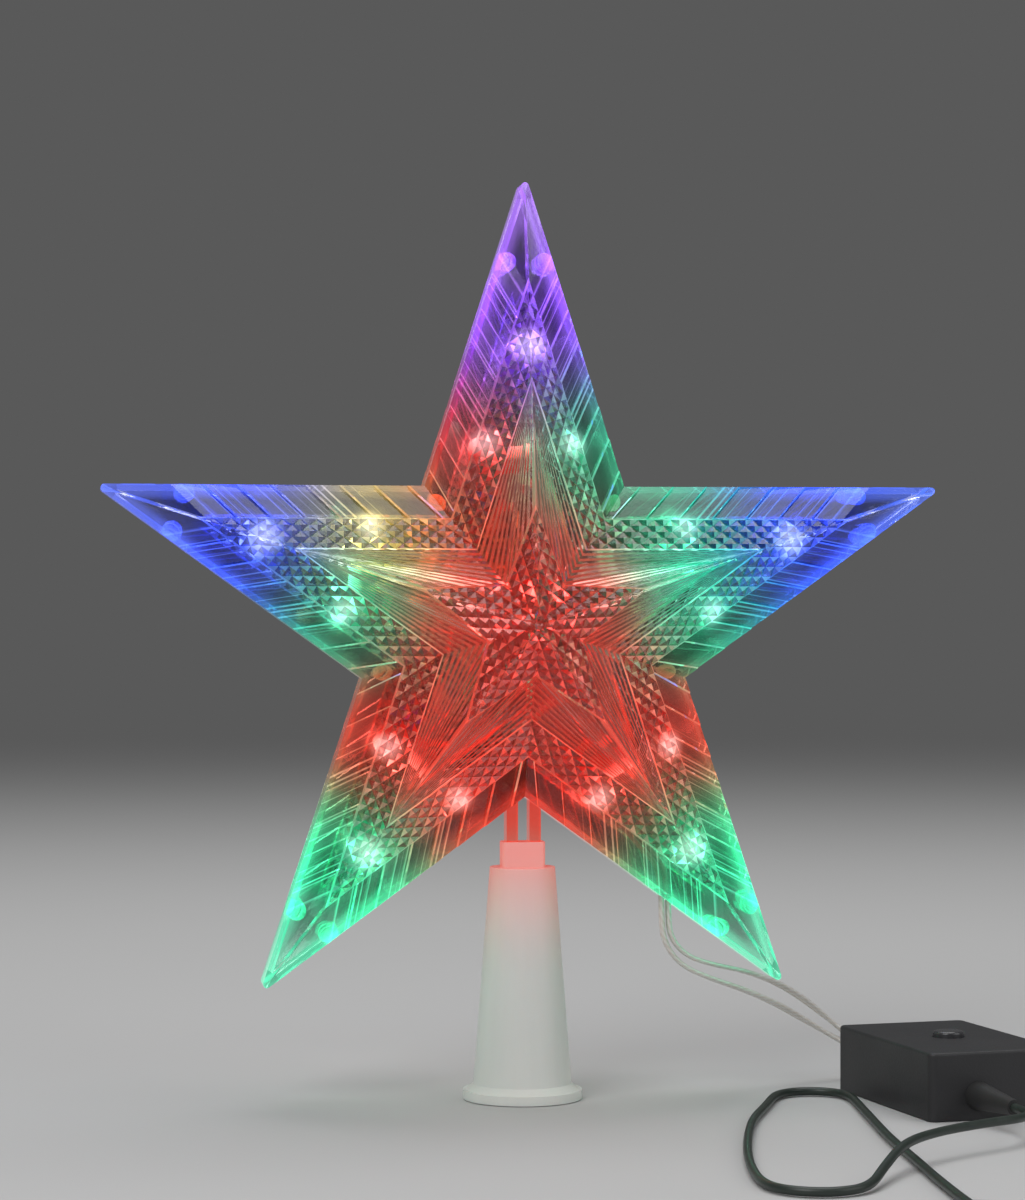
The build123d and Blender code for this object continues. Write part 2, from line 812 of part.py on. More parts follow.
def mains_points():
    """The mains cord's route, straight out of its strain relief and on to the coil's first turn."""
    gland_end = Vector(box_length + mains_gland_length, mains_gland_across, gland_height)
    start = box_plane.from_local_coords(gland_end)
    straight = start + box_plane.x_dir * mains_exit_run
    return [start, straight, *MAINS_ROUTE, coil_ends()[0]]


def tail_points():
    """The short tail from the coil's last turn down to the plug."""
    start = coil_ends()[1]
    low = Vector(start.X, start.Y, plug_centre_height)
    first = start - Vector(plug_tail_run, 0, 0)
    return [start, first, low - Vector(plug_tail_drop_run, 0, 0), low - Vector(plug_tail_length, 0, 0)]


def coil_state(turn):
    """The coil's radius and height after so many turns: in and out by layers, climbing at each reversal."""
    layer = int(min(turn // TURNS_PER_LAYER, COIL_LAYERS - 1))
    inward = turn - layer * TURNS_PER_LAYER
    spiral = inward if layer % 2 == 0 else TURNS_PER_LAYER - inward
    height = 0.0
    for reversal in range(1, COIL_LAYERS):
        start = reversal * TURNS_PER_LAYER - CLIMB_TURN / 2
        height += min(max((turn - start) / CLIMB_TURN, 0.0), 1.0)
    return coil_outer_radius - coil_pitch * spiral, coil_base_height + coil_pitch * height


def coil_point(turn):
    radius, height = coil_state(turn)
    angle = 2 * math.pi * turn
    return Vector(
        coil_centre[0] + radius * math.cos(angle), coil_centre[1] - radius * math.sin(angle), height
    )


def coil_tangent(turn):
    angle = 2 * math.pi * turn
    return Vector(-math.sin(angle), -math.cos(angle), 0)


def coil_ends():
    """The two ends of the coil, a straight diameter before its first turn and after its last."""
    turn_total = COIL_LAYERS * TURNS_PER_LAYER + COIL_EXTRA_TURN
    straight = 2 * mains_radius
    lead_in = coil_point(0) - coil_tangent(0) * straight
    lead_out = coil_point(turn_total) + coil_tangent(turn_total) * straight
    return lead_in, lead_out


def biarc(start, start_way, end, end_way):
    """Two tangent arcs from one point and direction to another."""
    chord = end - start
    ways = start_way + end_way
    closing = 2 * (1 - start_way.dot(end_way))
    along = chord.dot(ways)
    reach = (math.sqrt(along**2 + closing * chord.dot(chord)) - along) / closing
    middle = (start + end + (start_way - end_way) * reach) / 2
    first = TangentArc(start, middle, tangent=start_way)
    second = TangentArc(middle, end, tangent=first % 1)
    return [first, second]


def mains_coil():
    """The put-away length, wound in layers as one tube, with straight ends one diameter long."""
    quarter_count = round((COIL_LAYERS * TURNS_PER_LAYER + COIL_EXTRA_TURN) * QUARTERS)
    turns = [i / QUARTERS for i in range(quarter_count + 1)]
    lead_in, lead_out = coil_ends()
    edges = [Line(lead_in, coil_point(turns[0]))]
    for before, after in zip(turns, turns[1:]):
        edges += biarc(coil_point(before), coil_tangent(before), coil_point(after), coil_tangent(after))
    edges.append(Line(coil_point(turns[-1]), lead_out))
    path = Wire([edge for piece in edges for edge in piece.edges()])
    start = Plane(origin=lead_in, z_dir=coil_tangent(turns[0]))
    tube = sweep(start * Circle(mains_radius), path=path)
    print("mains_coil length", round(path.length, 1), "least gap", round(coil_gap(path), 2),
          "volume share", round(tube.volume / (math.pi * mains_radius**2 * path.length), 4))
    return tube


def coil_gap(path):
    """The least gap between the coil's turns, on points along its path."""
    turn_total = COIL_LAYERS * TURNS_PER_LAYER + COIL_EXTRA_TURN
    count = round(turn_total * GAP_SAMPLES)
    points = [path.position_at(i / count) for i in range(count + 1)]
    least = coil_outer_radius
    for i, point in enumerate(points):
        for other in points[i + GAP_SAMPLES // 2:]:
            least = min(least, (point - other).length)
    return least - 2 * mains_radius


def cord_tie():
    """A flat strap closed round the bundle of turns."""
    inner_reach = coil_outer_radius - coil_pitch * TURNS_PER_LAYER - mains_radius - tie_clearance
    outer_reach = coil_outer_radius + mains_radius + tie_clearance
    low = coil_base_height - mains_radius - tie_clearance
    high = coil_base_height + coil_pitch * (COIL_LAYERS - 1) + mains_radius + tie_clearance
    middle = coil_centre[0] - (inner_reach + outer_reach) / 2
    width, height = outer_reach - inner_reach, high - low
    hole = RectangleRounded(width, height, mains_radius)
    strap = RectangleRounded(
        width + 2 * tie_thickness, height + 2 * tie_thickness, mains_radius + tie_thickness
    ) - hole
    plane = Plane(origin=(middle, coil_centre[1], (low + high) / 2), x_dir=(1, 0, 0), z_dir=(0, 1, 0))
    return plane * extrude(strap, tie_width / 2, both=True)


def plug_plane():
    """The plug's frame: +Z from the end of the cord towards the pins, +X across the plug."""
    return Plane(origin=tail_points()[-1], x_dir=(0, 1, 0), z_dir=(-1, 0, 0))


def plug_body():
    relief = Cone(
        plug_relief_end_radius, plug_relief_radius, plug_relief_length,
        align=(Align.CENTER, Align.CENTER, Align.MIN),
    )
    rear = RectangleRounded(plug_rear_width, plug_rear_thickness, plug_round)
    front = RectangleRounded(plug_width, plug_thickness, plug_round)
    grip = loft([rear, Pos(0, 0, plug_length) * front], ruled=True)
    body = relief + Pos(0, 0, plug_relief_length) * grip
    for side in (-1, 1):
        seat = Cylinder(plug_pin_radius, plug_pin_seat, align=(Align.CENTER, Align.CENTER, Align.MAX))
        body -= Pos(side * plug_pin_spacing / 2, 0, plug_relief_length + plug_length) * seat
    return plug_plane() * body


def plug_pins():
    pins = []
    for side in (-1, 1):
        pin = Cylinder(
            plug_pin_radius, plug_pin_seat + plug_pin_length, align=(Align.CENTER, Align.CENTER, Align.MIN)
        )
        pin = fillet(pin.faces().sort_by(Axis.Z)[-1].edges(), plug_pin_tip_radius)
        seat_level = plug_relief_length + plug_length - plug_pin_seat
        pins.append(plug_plane() * (Pos(side * plug_pin_spacing / 2, 0, seat_level) * pin))
    return pins


def solids(pieces):
    """One sub-part of several separate solids."""
    return Compound(children=[solid for piece in pieces for solid in piece.solids()])


def build_star():
    front, back = shell_pair()
    write(front, "front_shell", CLEAR)
    write(back, "back_shell", CLEAR)
    for arm, arm_name in enumerate(ARM_NAMES):
        sleeves = []
        for name, along, across in arm_leds():
            seat = arm_plane(arm, along, across)
            write(seat * led_lamp(), f"led_{arm_name}_{name}", LAMP_COLOURS[ARM_COLOURS[arm_name][name]])
            sleeves.append(seat * sleeve())
        write(solids(sleeves), f"led_sleeves_{arm_name}", WHITE)
        write(arm_harness(arm), f"harness_{arm_name}", CLEAR)
    write(hub_block(), "splice_hub", WHITE)
    for number, place in enumerate(centre_led_places, start=1):
        seat = Pos(*place, hub_front_depth) * led_lamp()
        write(front_plane * seat, f"led_centre_{number}", LAMP_COLOURS["red"])
    write(solids(lead_tail()), "lead_tail", CLEAR)


def build_controller():
    write(box_plane * controller_base(), "controller_base", BLACK)
    write(box_plane * controller_lid(), "controller_lid", BLACK)
    write(solids([box_plane * s for s in controller_screws()]), "controller_screws", GREY)
    write(box_plane * controller_board(), "controller_board", GREEN)
    write(solids([box_plane * p for p in board_parts()]), "board_parts", BLACK)
    write(box_plane * mode_switch(), "mode_switch", GREY)
    write(box_plane * mode_button(), "mode_button", BLACK)
    write(box_plane * lead_gland(), "lead_gland", BLACK)
    write(box_plane * mains_gland(), "mains_gland", BLACK)


def build_cords():
    for number, (side, layer) in enumerate(STRANDS, start=1):
        tube, radii, length = wire_tube(lead_strand(side, layer), lead_radius)
        report_tube(f"lead_wire_{number}", tube, radii, length, lead_radius)
        write(tube, f"lead_wire_{number}", CLEAR)
    for node, route in (("mains_cord", mains_points()), ("plug_tail", tail_points())):
        tube, radii, length = wire_tube(route, mains_radius)
        report_tube(node, tube, radii, length, mains_radius)
        write(tube, node, BLACK)
    write(mains_coil(), "mains_coil", BLACK)
    write(cord_tie(), "cord_tie", BLACK)
    write(plug_body(), "plug_body", BLACK)
    write(solids(plug_pins()), "plug_pins", GREY)


def main():
    os.makedirs("parts", exist_ok=True)
    build_star()
    write(tree_cone(), "tree_cone", WHITE)
    build_controller()
    build_cords()


main()
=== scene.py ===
import math
from bisect import bisect
from functools import reduce
from operator import add
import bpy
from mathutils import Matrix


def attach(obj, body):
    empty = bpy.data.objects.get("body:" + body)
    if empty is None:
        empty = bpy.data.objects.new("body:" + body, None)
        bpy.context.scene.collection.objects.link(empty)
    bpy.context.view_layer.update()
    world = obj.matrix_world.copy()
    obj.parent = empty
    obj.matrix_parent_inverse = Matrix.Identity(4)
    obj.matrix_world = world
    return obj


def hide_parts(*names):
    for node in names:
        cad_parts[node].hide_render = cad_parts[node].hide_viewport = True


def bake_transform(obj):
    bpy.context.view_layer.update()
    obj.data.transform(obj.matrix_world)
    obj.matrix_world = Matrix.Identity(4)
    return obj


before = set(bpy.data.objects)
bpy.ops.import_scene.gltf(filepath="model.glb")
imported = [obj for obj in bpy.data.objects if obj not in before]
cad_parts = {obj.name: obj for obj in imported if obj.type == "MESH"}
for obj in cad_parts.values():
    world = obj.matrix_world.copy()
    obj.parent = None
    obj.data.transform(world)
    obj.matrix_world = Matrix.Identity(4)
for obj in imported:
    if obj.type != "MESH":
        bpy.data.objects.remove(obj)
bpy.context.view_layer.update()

from types import SimpleNamespace

import bmesh
import bpy
from bpy.props import FloatProperty, FloatVectorProperty, IntProperty, PointerProperty
from mathutils import Matrix, Vector
from mathutils.geometry import delaunay_2d_cdt

bl_info = {
    "name": "Lit Tree Topper Star",
    "version": (1, 0, 0),
    "blender": (4, 5, 0),
    "location": "3D View > Sidebar > Star",
    "description": "Builds a clear faceted star with lamps inside, its cone stand, controller and cords",
    "category": "Object",
}

MM = 0.001
PER_MM = 1 / MM
MICRON = MM / 1000
FULL_TURN = 2 * math.pi

# Slack in metres: a point on a groove, a point on a line, and the shortest crease or widest seam.
ON_GROOVE = 1e-7
ON_LINE = 1e-6
SEAM = 2e-6
# A crease that nears an outline's side by less than this, in metres, runs along it.
PARALLEL = 1e-12
# How the relief is triangulated: inside its outline, with corners this near in millimetres made one.
TRIANGLES_INSIDE = 1
MERGE_MM = 1e-4
# Seed of the chance in the knurl's painted brightness.
FACET_SEED = 7

WHITE = (1.0, 1.0, 1.0)
UNLIT = (0.0, 0.0, 0.0)

ARM_NAMES = ("top", "right", "lower_right", "lower_left", "left")
ARM_COUNT = len(ARM_NAMES)
ARM_STEP = FULL_TURN / ARM_COUNT
HALF_STEP = ARM_STEP / 2
NOTCH_WAY = Vector((math.sin(HALF_STEP), math.cos(HALF_STEP)))
BOTTOM_NOTCH = 2
LAMP_COLOURS = {
    "top": {"tip": "violet", "left": "red", "right": "green"},
    "right": {"tip": "blue", "left": "green", "right": "green"},
    "lower_right": {"tip": "green", "left": "red", "right": "red"},
    "lower_left": {"tip": "green", "left": "red", "right": "red"},
    "left": {"tip": "blue", "left": "green", "right": "yellow"},
}

# Centre lamps: millimetres right of the star's centre and above it.
CENTRE_LAMPS = ((-6.0, 7.0), (5.0, 3.5))
CENTRE_COLOUR = "red"

# Controller box: one corner, the way along it and the way across it.
BOX_CORNER = Vector((85.0, 3.0, 0.0)) * MM
BOX_TURN = math.radians(-80.44)
BOX_ALONG = Vector((math.cos(BOX_TURN), math.sin(BOX_TURN), 0))
BOX_ACROSS = Vector((-math.sin(BOX_TURN), math.cos(BOX_TURN), 0))

# Lead wires: share of the way from the star to the controller, the middle of the strands from there
# in millimetres, then half their spread side to side (x, z) and in depth (x, y).
LEAD_ROUTE = (
    (0.0, 0.0, 0.0, 0.0, 0.9, 0.0, 0.0, 0.9),
    (0.0, 0.0, 0.0, -6.2, 0.9, 0.0, 0.0, 0.9),
    (0.0, 0.6, 0.3, -12.9, 0.9, 0.5, 0.0, 0.9),
    (0.1, -1.1, 0.6, -14.0, 0.8, 1.2, 0.0, 1.0),
    (0.2, 1.0, 2.4, -12.6, 0.4, 1.8, -0.3, 1.2),
    (0.35, 0.9, 4.8, -8.3, 0.4, 2.4, -0.5, 1.4),
    (0.5, 1.3, 8.0, -5.4, 0.6, 2.6, -0.6, 1.5),
    (0.65, 0.7, 11.3, -3.8, 0.8, 2.2, -0.5, 1.4),
    (0.8, -0.4, 13.1, -2.7, 0.6, 1.4, 0.2, 1.2),
    (0.9, 0.5, 12.3, -2.2, 0.2, 1.0, 0.7, 0.9),
    (1.0, -1.06, 6.31, 0.0, 0.0, 0.9, 0.89, 0.15),
    (1.0, 0.0, 0.0, 0.0, 0.0, 0.9, 0.89, 0.15),
)
# Each strand's side of the middle, and its layer in depth.
STRANDS = ((-1, -1), (1, -1), (-1, 1), (1, 1))

# Mains cord in millimetres: from its strain relief over itself, round its loop and off to the coil.
MAINS_ROUTE = (
    (107.6, -90.5, 6.5),
    (95.4, -98.0, 6.7),
    (80.5, -108.5, 6.6),
    (70.0, -120.5, 6.2),
    (62.0, -134.0, 3.4),
    (56.0, -146.0, 1.4),
    (48.2, -150.5, 1.15),
    (39.8, -149.0, 1.15),
    (34.3, -142.5, 1.15),
    (33.9, -129.5, 1.15),
    (37.2, -105.7, 1.15),
    (43.0, -78.3, 1.15),
    (50.0, -51.2, 1.15),
    (58.8, -28.4, 1.15),
    (63.9, -13.7, 1.15),
    (69.1, -7.8, 1.15),
    (76.4, -6.9, 1.15),
    (82.2, -11.4, 1.15),
    (83.4, -18.8, 1.15),
    (82.0, -32.0, 1.15),
    (79.6, -55.0, 1.15),
    (76.6, -84.0, 1.15),
    (75.0, -112.0, 1.15),
    (72.9, -142.0, 1.15),
    (71.7, -172.0, 1.15),
    (71.1, -201.0, 1.9),
)
# Runs of the cord's tail from the coil's end, in millimetres: at the coil's height, then at the plug's.
TAIL_HIGH = (2.2, 9.0)
TAIL_LOW = (17.0, 23.8)


def setting(make, **limits):
    """A short way to write the settings of one kind."""

    def written(name, description, default):
        return make(name=name, description=description, default=default, **limits)

    return written


offset = setting(FloatProperty, subtype="DISTANCE", unit="LENGTH", precision=5)
length = setting(FloatProperty, min=0.0, subtype="DISTANCE", unit="LENGTH", precision=5)
focal_length = setting(FloatProperty, min=1.0, subtype="DISTANCE_CAMERA")
bearing = setting(FloatProperty, subtype="ANGLE", unit="ROTATION")
power = setting(FloatProperty, min=0.0, subtype="POWER", unit="POWER")
fraction = setting(FloatProperty, min=0.0, max=1.0, subtype="FACTOR")
amount = setting(FloatProperty, min=0.0)
whole = setting(IntProperty, min=1)
colour = setting(FloatVectorProperty, size=3, min=0.0, max=1.0, subtype="COLOR")


class StarSizes(bpy.types.PropertyGroup):
    """Sizes of the star's shells and of the relief moulded on them."""

    tip_radius: length("Tip radius", "From the centre to a sharp tip", 0.117)
    notch_radius: length("Notch radius", "From the centre to a notch", 0.0445)
    tip_round: length("Tip rounding", "Radius at each tip", 0.001)
    star_height: length("Star height", "Height of the star's centre over the table", 0.1232)
    rim_depth: length("Rim depth", "Depth of one shell's rim", 0.005)
    apex_rise: length("Apex rise", "How far the plain pyramid rises over the rim", 0.025)
    wall: length("Wall", "Thickness of the shell", 0.002)
    parting_gap: length("Parting gap", "Half the gap between the two shells", 0.00004)
    band_radius: length("Band radius", "Tip radius of the raised band", 0.0895)
    recess_radius: length("Recess radius", "Tip radius of the fluted recess", 0.0625)
    band_raise: length("Band raise", "How far the band stands proud", 0.0012)
    centre_radius: length("Centre radius", "Tip radius of the centre star", 0.0308)
    centre_notch_radius: length("Centre notch radius", "Notch radius of the centre star", 0.0129)
    centre_raise: length("Centre raise", "How far the centre star stands proud", 0.0018)
    step_width: length("Step width", "Width of the slope at each raised edge", 0.0004)
    knurl_length: length("Knurl length", "Long diagonal of one pyramid", 0.00435)
    knurl_width: length("Knurl width", "Short diagonal of one pyramid", 0.0031)
    knurl_depth: length("Knurl depth", "Depth of the grooves between pyramids", 0.0009)
    groove_first: fraction("First groove", "Place of the first bevel groove along the band's edge", 0.025)
    groove_pitch: fraction("Groove pitch", "Spacing of the bevel grooves along the band's edge", 0.135)
    groove_depth: length("Groove depth", "Depth of the bevel grooves", 0.0011)
    groove_step: length("Groove step", "Width of a groove's steep side", 0.0006)
    groove_count: whole("Grooves", "Bevel grooves on half an arm", 7)
    notch_flutes: whole("Notch flutes", "Flutes that end at a notch line", 6)
    centre_flutes: whole("Centre flutes", "Flutes that end at the centre star", 5)
    flute_depth: length("Flute depth", "Depth of the flutes in the recess", 0.0006)
    peg_radius: length("Peg radius", "Radius of a locating peg", 0.0025)
    peg_along: length("Tip peg place", "Tip pegs' distance along the arm", 0.094)
    peg_across: length("Tip peg offset", "Tip pegs' distance from the arm's axis", 0.0046)
    peg_notch: length("Notch peg place", "Notch pegs' distance from the centre", 0.0388)
    post_radius: length("Post radius", "Radius of a lamp's post", 0.0011)
    post_reach: length("Post reach", "How far a lamp's post passes the parting plane", 0.002)
    post_behind: length("Post place", "A post's distance behind its lamp's flange", 0.0035)
    post_beside: length("Post offset", "A post's distance from its lamp's axis", 0.0032)
    hub_post_radius: length("Hub post radius", "Radius of a post behind the hub", 0.002)
    hub_post_distance: length("Hub post place", "Hub posts' distance from the centre", 0.008)
    hub_back: length("Hub back", "Depth of the hub's back face", 0.0062)
    prong_depth: length("Prong depth", "Depth of one shell's half of a neck prong", 0.0025)
    prong_inside: length("Prong inside", "From the star's axis to a prong's near side", 0.0015)
    prong_outside: length("Prong outside", "From the star's axis to a prong's far side", 0.0045)
    prong_end: length("Prong end", "Height of the prongs' lower ends over the table", 0.054)
    # Painted glow on the pegs and posts, standing for the lamps' light they catch.
    post_tone: fraction("Post tone", "How bright an arm's pegs and posts carry the lamps' light", 0.62)
    notch_tone: fraction("Notch tone", "How bright the pegs and posts nearer the centre carry it", 0.75)


class LampSettings(bpy.types.PropertyGroup):
    """Places and colours of the lamps, and how far their light is painted on the shells and the cone."""

    tip_along: length("Tip lamp place", "Distance of a tip lamp's flange along the arm", 0.066)
    side_along: length("Side lamp place", "Distance of a side lamp's flange along the arm", 0.041)
    side_across: length("Side lamp offset", "Distance of a side lamp from the arm's axis", 0.0108)
    dome_reach: length("Dome reach", "From a lamp's flange to the centre of its dome", 0.0055)
    dome_radius: length("Dome radius", "Radius of a lamp's dome", 0.0025)
    hub_front: length("Hub front", "Depth of the hub's front face", 0.0015)
    tip_glow: length("Tip glow", "Reach of a tip lamp's light", 0.026)
    side_glow: length("Side glow", "Reach of a side lamp's light", 0.022)
    centre_glow: length("Centre glow", "Reach of a centre lamp's light", 0.026)
    core_reach: length("Core reach", "How far a lamp is hot from the end of its dome", 0.005)
    depth_share: fraction("Depth share", "How much depth counts in a distance from a lamp", 0.25)
    tint_gain: amount("Tint gain", "How soon the lamps' light tints the shells in full", 2.4)
    # Painted light on the shells: white in the hot spot in front of an arm's lamp, and painted shade on
    # dull facets.
    core_white: fraction("Core white", "Share of white in front of an arm's lamp", 0.4)
    painted_facet_shade: fraction("Dark facets", "How much darker than bright ones the dull facets are", 0.62)
    faint: fraction("Faint light", "Light under which the shells lose its colour", 0.004)
    rim_lit: length("Rim lit", "Distance from the parting plane up to which the rim glows in full", 0.0046)
    rim_unlit: length("Rim unlit", "Distance from the parting plane where the glow has gone", 0.0058)
    tip_unlit: length("Arm unlit", "Distance from the centre where the rim's glow is least", 0.07)
    tip_lit: length("Arm lit", "Distance from the centre where the rim's glow is full", 0.115)
    # Heights between which the red glow is painted on the cone.
    cone_unlit: length("Cone unlit", "Height at which the red light in the cone has gone", 0.03)
    cone_lit: length("Cone lit", "Height at which the red light in the cone is full", 0.064)
    violet: colour("Violet", "Light of the violet lamp", (0.42, 0.16, 1.0))
    red: colour("Red", "Light of the red lamps", (1.0, 0.07, 0.045))
    green: colour("Green", "Light of the green lamps", (0.05, 0.85, 0.5))
    blue: colour("Blue", "Light of the blue lamps", (0.08, 0.14, 1.0))
    yellow: colour("Yellow", "Light of the yellow lamp", (0.9, 0.74, 0.2))


class CordSizes(bpy.types.PropertyGroup):
    """Sizes of the lead wires, the mains cord and its coil."""

    lead_radius: length("Lead radius", "Radius of a lead wire", 0.0006)
    exit_share: fraction("Exit share", "Place of the slot along the rim's edge", 0.548)
    exit_rise: length("Exit rise", "How far inside the rim the wires start", 0.0023)
    star_hold: length("Star hold", "Drop of the lead wires that moves with the star", 0.003)
    box_hold: fraction("Box hold", "Share of the lead wires' way that stays with the controller", 0.35)
    slot_half: length("Slot half width", "Half the width of the slot in the rim", 0.0018)
    slot_height: length("Slot height", "Height of the slot in the rim", 0.008)
    lead_gland: length("Lead relief", "Length of the rear strain relief", 0.006)
    lead_across: length("Lead place", "Place of the rear strain relief across the box", 0.018)
    gland_height: length("Relief height", "Height of the strain reliefs", 0.006)
    box_length: length("Box length", "Length of the controller", 0.058)
    mains_radius: length("Cord radius", "Radius of the mains cord", 0.0011)
    mains_gland: length("Cord relief", "Length of the front strain relief", 0.020)
    mains_across: length("Cord place", "Place of the front strain relief across the box", 0.013)
    mains_straight: length("Straight exit", "Straight run out of the front strain relief", 0.009)
    coil_x: offset("Coil x", "Middle of the coil, right of the cone's axis", 0.055)
    coil_y: offset("Coil y", "Middle of the coil, in front of the cone's axis where negative", -0.232)
    coil_radius: length("Coil radius", "Radius of the coil's outer turn", 0.0161)
    coil_pitch: length("Coil pitch", "Spacing of the coil's turns", 0.00275)
    coil_base: length("Coil base", "Height of the coil's lowest turns", 0.002)
    coil_layers: whole("Layers", "Layers of turns in the coil", 4)
    coil_turns: whole("Turns", "Turns in a layer", 3)
    coil_climb: amount("Climb", "Turns over which the cord climbs to the next layer", 0.5)
    coil_leave: amount("Leave", "Part of a turn from the last layer to the tail", 0.25)
    plug_height: length("Plug height", "Height of the plug's middle", 0.0069)


class FinishColours(bpy.types.PropertyGroup):
    """Base colours of the finishes."""

    clear: colour("Clear", "Clear moulded plastic", (0.9, 0.92, 0.93))
    white: colour("White", "White sleeves and hub", (0.82, 0.82, 0.79))
    cone: colour("Cone", "Satin plastic of the cone", (0.79, 0.8, 0.76))
    black: colour("Black", "Moulded plastic of the controller", (0.018, 0.018, 0.02))
    button: colour("Button", "Glossy plastic of the mode button", (0.05, 0.05, 0.055))
    rubber: colour("Rubber", "Plug and strain reliefs", (0.017, 0.017, 0.017))
    cord: colour("Cord", "Sheath of the mains cord", (0.014, 0.024, 0.018))
    sheath: colour("Lead sheath", "Clear sheath of the lead wires", (0.8, 0.8, 0.77))
    strand: colour("Lead strand", "Metal strands in the lead wires", (0.62, 0.5, 0.4))
    laminate: colour("Laminate", "Controller board", (0.3, 0.2, 0.075))
    copper: colour("Copper", "Tracks on the controller board", (0.45, 0.24, 0.1))
    chip: colour("Chip", "Moulded parts on the controller board", (0.04, 0.04, 0.04))
    steel: colour("Steel", "Plated screws of the controller", (0.58, 0.58, 0.6))
    nickel: colour("Nickel", "Plated pins of the plug", (0.74, 0.72, 0.66))
    floor: colour("Floor", "Floor under the star", (0.5, 0.5, 0.5))


class StageSettings(bpy.types.PropertyGroup):
    """Camera, floor, backdrop and light."""

    camera_distance: length("Camera distance", "From the camera to the star's axis", 0.85)
    camera_azimuth: bearing("Azimuth", "Turn of the camera round the star", math.radians(-8.04))
    camera_height: length("Camera height", "Height of the level camera", 0.1297)
    camera_offset: length("Camera offset", "How far right of the picture's middle the star is", 0.00258)
    lens: focal_length("Lens", "Focal length on a 36 mm frame", 97.8)
    key_power: power("Key", "Power of the key light", 14.0)
    fill_power: power("Fill", "Power of the fill light", 6.0)
    top_power: power("Top", "Power of the light over the star", 12.0)
    aim_height: length("Aim height", "Height on the star's axis that the lights point at", 0.11)
    sky: amount("Sky", "Strength of the even light", 0.22)
    backdrop: amount("Backdrop", "Grey of the backdrop", 0.1)
    floor_radius: length("Floor radius", "Radius of the floor", 8.0)
    floor_drop: length("Floor drop", "How far the floor lies under the cone's flange", 0.0002)
    fade_start: length("Fade start", "Where the floor starts to fade into the backdrop", 0.4)
    fade_end: length("Fade end", "Where the floor has faded into the backdrop", 2.4)


class Shade:
    """A shader socket that Python's operators work on, and the one way to add any other node."""

    def __init__(self, tree, socket=None):
        self.tree = tree
        self.socket = socket

    def node(self, kind, settings=None, inputs=None, output=0):
        made = self.tree.nodes.new(kind)
        for name, value in (settings or {}).items():
            setattr(made, name, value)
        for name, value in (inputs or {}).items():
            self.feed(made.inputs[name], value)
        return Shade(self.tree, made.outputs[output])

    def feed(self, target, value):
        if isinstance(value, Shade):
            self.tree.links.new(value.socket, target)
        else:
            target.default_value = value

    def math(self, operation, *values, clamp=False):
        settings = {"operation": operation, "use_clamp": clamp}
        return self.node("ShaderNodeMath", settings, dict(enumerate(values)))

    def __add__(self, other):
        return self.math("ADD", self, other)

    def __sub__(self, other):
        return self.math("SUBTRACT", self, other)

    def __rsub__(self, other):
        return self.math("SUBTRACT", other, self)

    def __mul__(self, other):
        return self.math("MULTIPLY", self, other)

    def __truediv__(self, other):
        return self.math("DIVIDE", self, other)

    def __rtruediv__(self, other):
        return self.math("DIVIDE", other, self)

    def __pow__(self, other):
        return self.math("POWER", self, other)

    __radd__ = __add__
    __rmul__ = __mul__

    def least(self, other):
        return self.math("MINIMUM", self, other)

    def most(self, other):
        return self.math("MAXIMUM", self, other)

    def clamped(self):
        return self.math("ADD", self, 0.0, clamp=True)

    def between(self, low, high):
        """The value of 0 to 1 stretched to run from one number to another."""
        return self * (high - low) + low

    def ramp(self, none, full):
        """0 at one number and 1 at another, straight between them and level beyond."""
        return ((self - none) / (full - none)).clamped()

    def vector(self, operation, other, output=0):
        return self.node("ShaderNodeVectorMath", {"operation": operation}, {0: self, 1: other}, output)

    def added(self, other):
        return self.vector("ADD", other)

    def distance(self, place):
        return self.vector("DISTANCE", tuple(place), "Value")

    def scaled(self, share):
        return self.node("ShaderNodeVectorMath", {"operation": "SCALE"}, {"Vector": self, "Scale": share})

    def part(self, axis):
        return self.node("ShaderNodeSeparateXYZ", {}, {0: self}, axis)

    def noise(self, scale, detail=2.0, roughness=0.5):
        sockets = {"Vector": self, "Scale": scale, "Detail": detail, "Roughness": roughness}
        return self.node("ShaderNodeTexNoise", {}, sockets)


def opaque(tone):
    """A colour with its alpha, or a socket as it is."""
    return tone if isinstance(tone, Shade) else (*tone, 1.0)


def darker(tone, share):
    return tuple(value * share for value in tone)


def paler(tone, lift):
    return tuple(value + lift for value in tone)


def whiter(tone, share):
    return tuple(share + (1 - share) * value for value in tone)


class Finish:
    """A named material, its main shader and what feeds it."""

    def __init__(self, name):
        self.material = bpy.data.materials.new(name)
        self.material.use_nodes = True
        self.tree = self.material.node_tree
        self.shader = self.tree.nodes["Principled BSDF"]
        self.sheet = Shade(self.tree)
        self.place = self.sheet.node("ShaderNodeTexCoord", output="Object")

    def attribute(self, name):
        return self.sheet.node("ShaderNodeAttribute", {"attribute_name": name}, output="Fac")

    def paint(self, low, high, share):
        """A colour between two, by a value of the surface, from the mix node's colour sockets."""
        sockets = {0: share, 6: opaque(low), 7: opaque(high)}
        return self.sheet.node("ShaderNodeMix", {"data_type": "RGBA"}, sockets, output=2)

    def bump(self, height, distance):
        sockets = {"Strength": 1.0, "Distance": distance, "Height": height}
        return self.sheet.node("ShaderNodeBump", {}, sockets, "Normal")

    def set(self, **sockets):
        """Feeds the shader's sockets, named with underscores for spaces, and gives the material."""
        for name, value in sockets.items():
            self.sheet.feed(self.shader.inputs[name.replace("_", " ")], value)
        return self.material


def finishes(context):
    return context.scene.star_finishes


def arm_place(sizes, arm, along, across):
    """A point of the parting plane: along an arm, and clockwise of its axis."""
    angle = arm * ARM_STEP
    x = along * math.sin(angle) + across * math.cos(angle)
    z = along * math.cos(angle) - across * math.sin(angle)
    return Vector((x, 0.0, sizes.star_height + z))


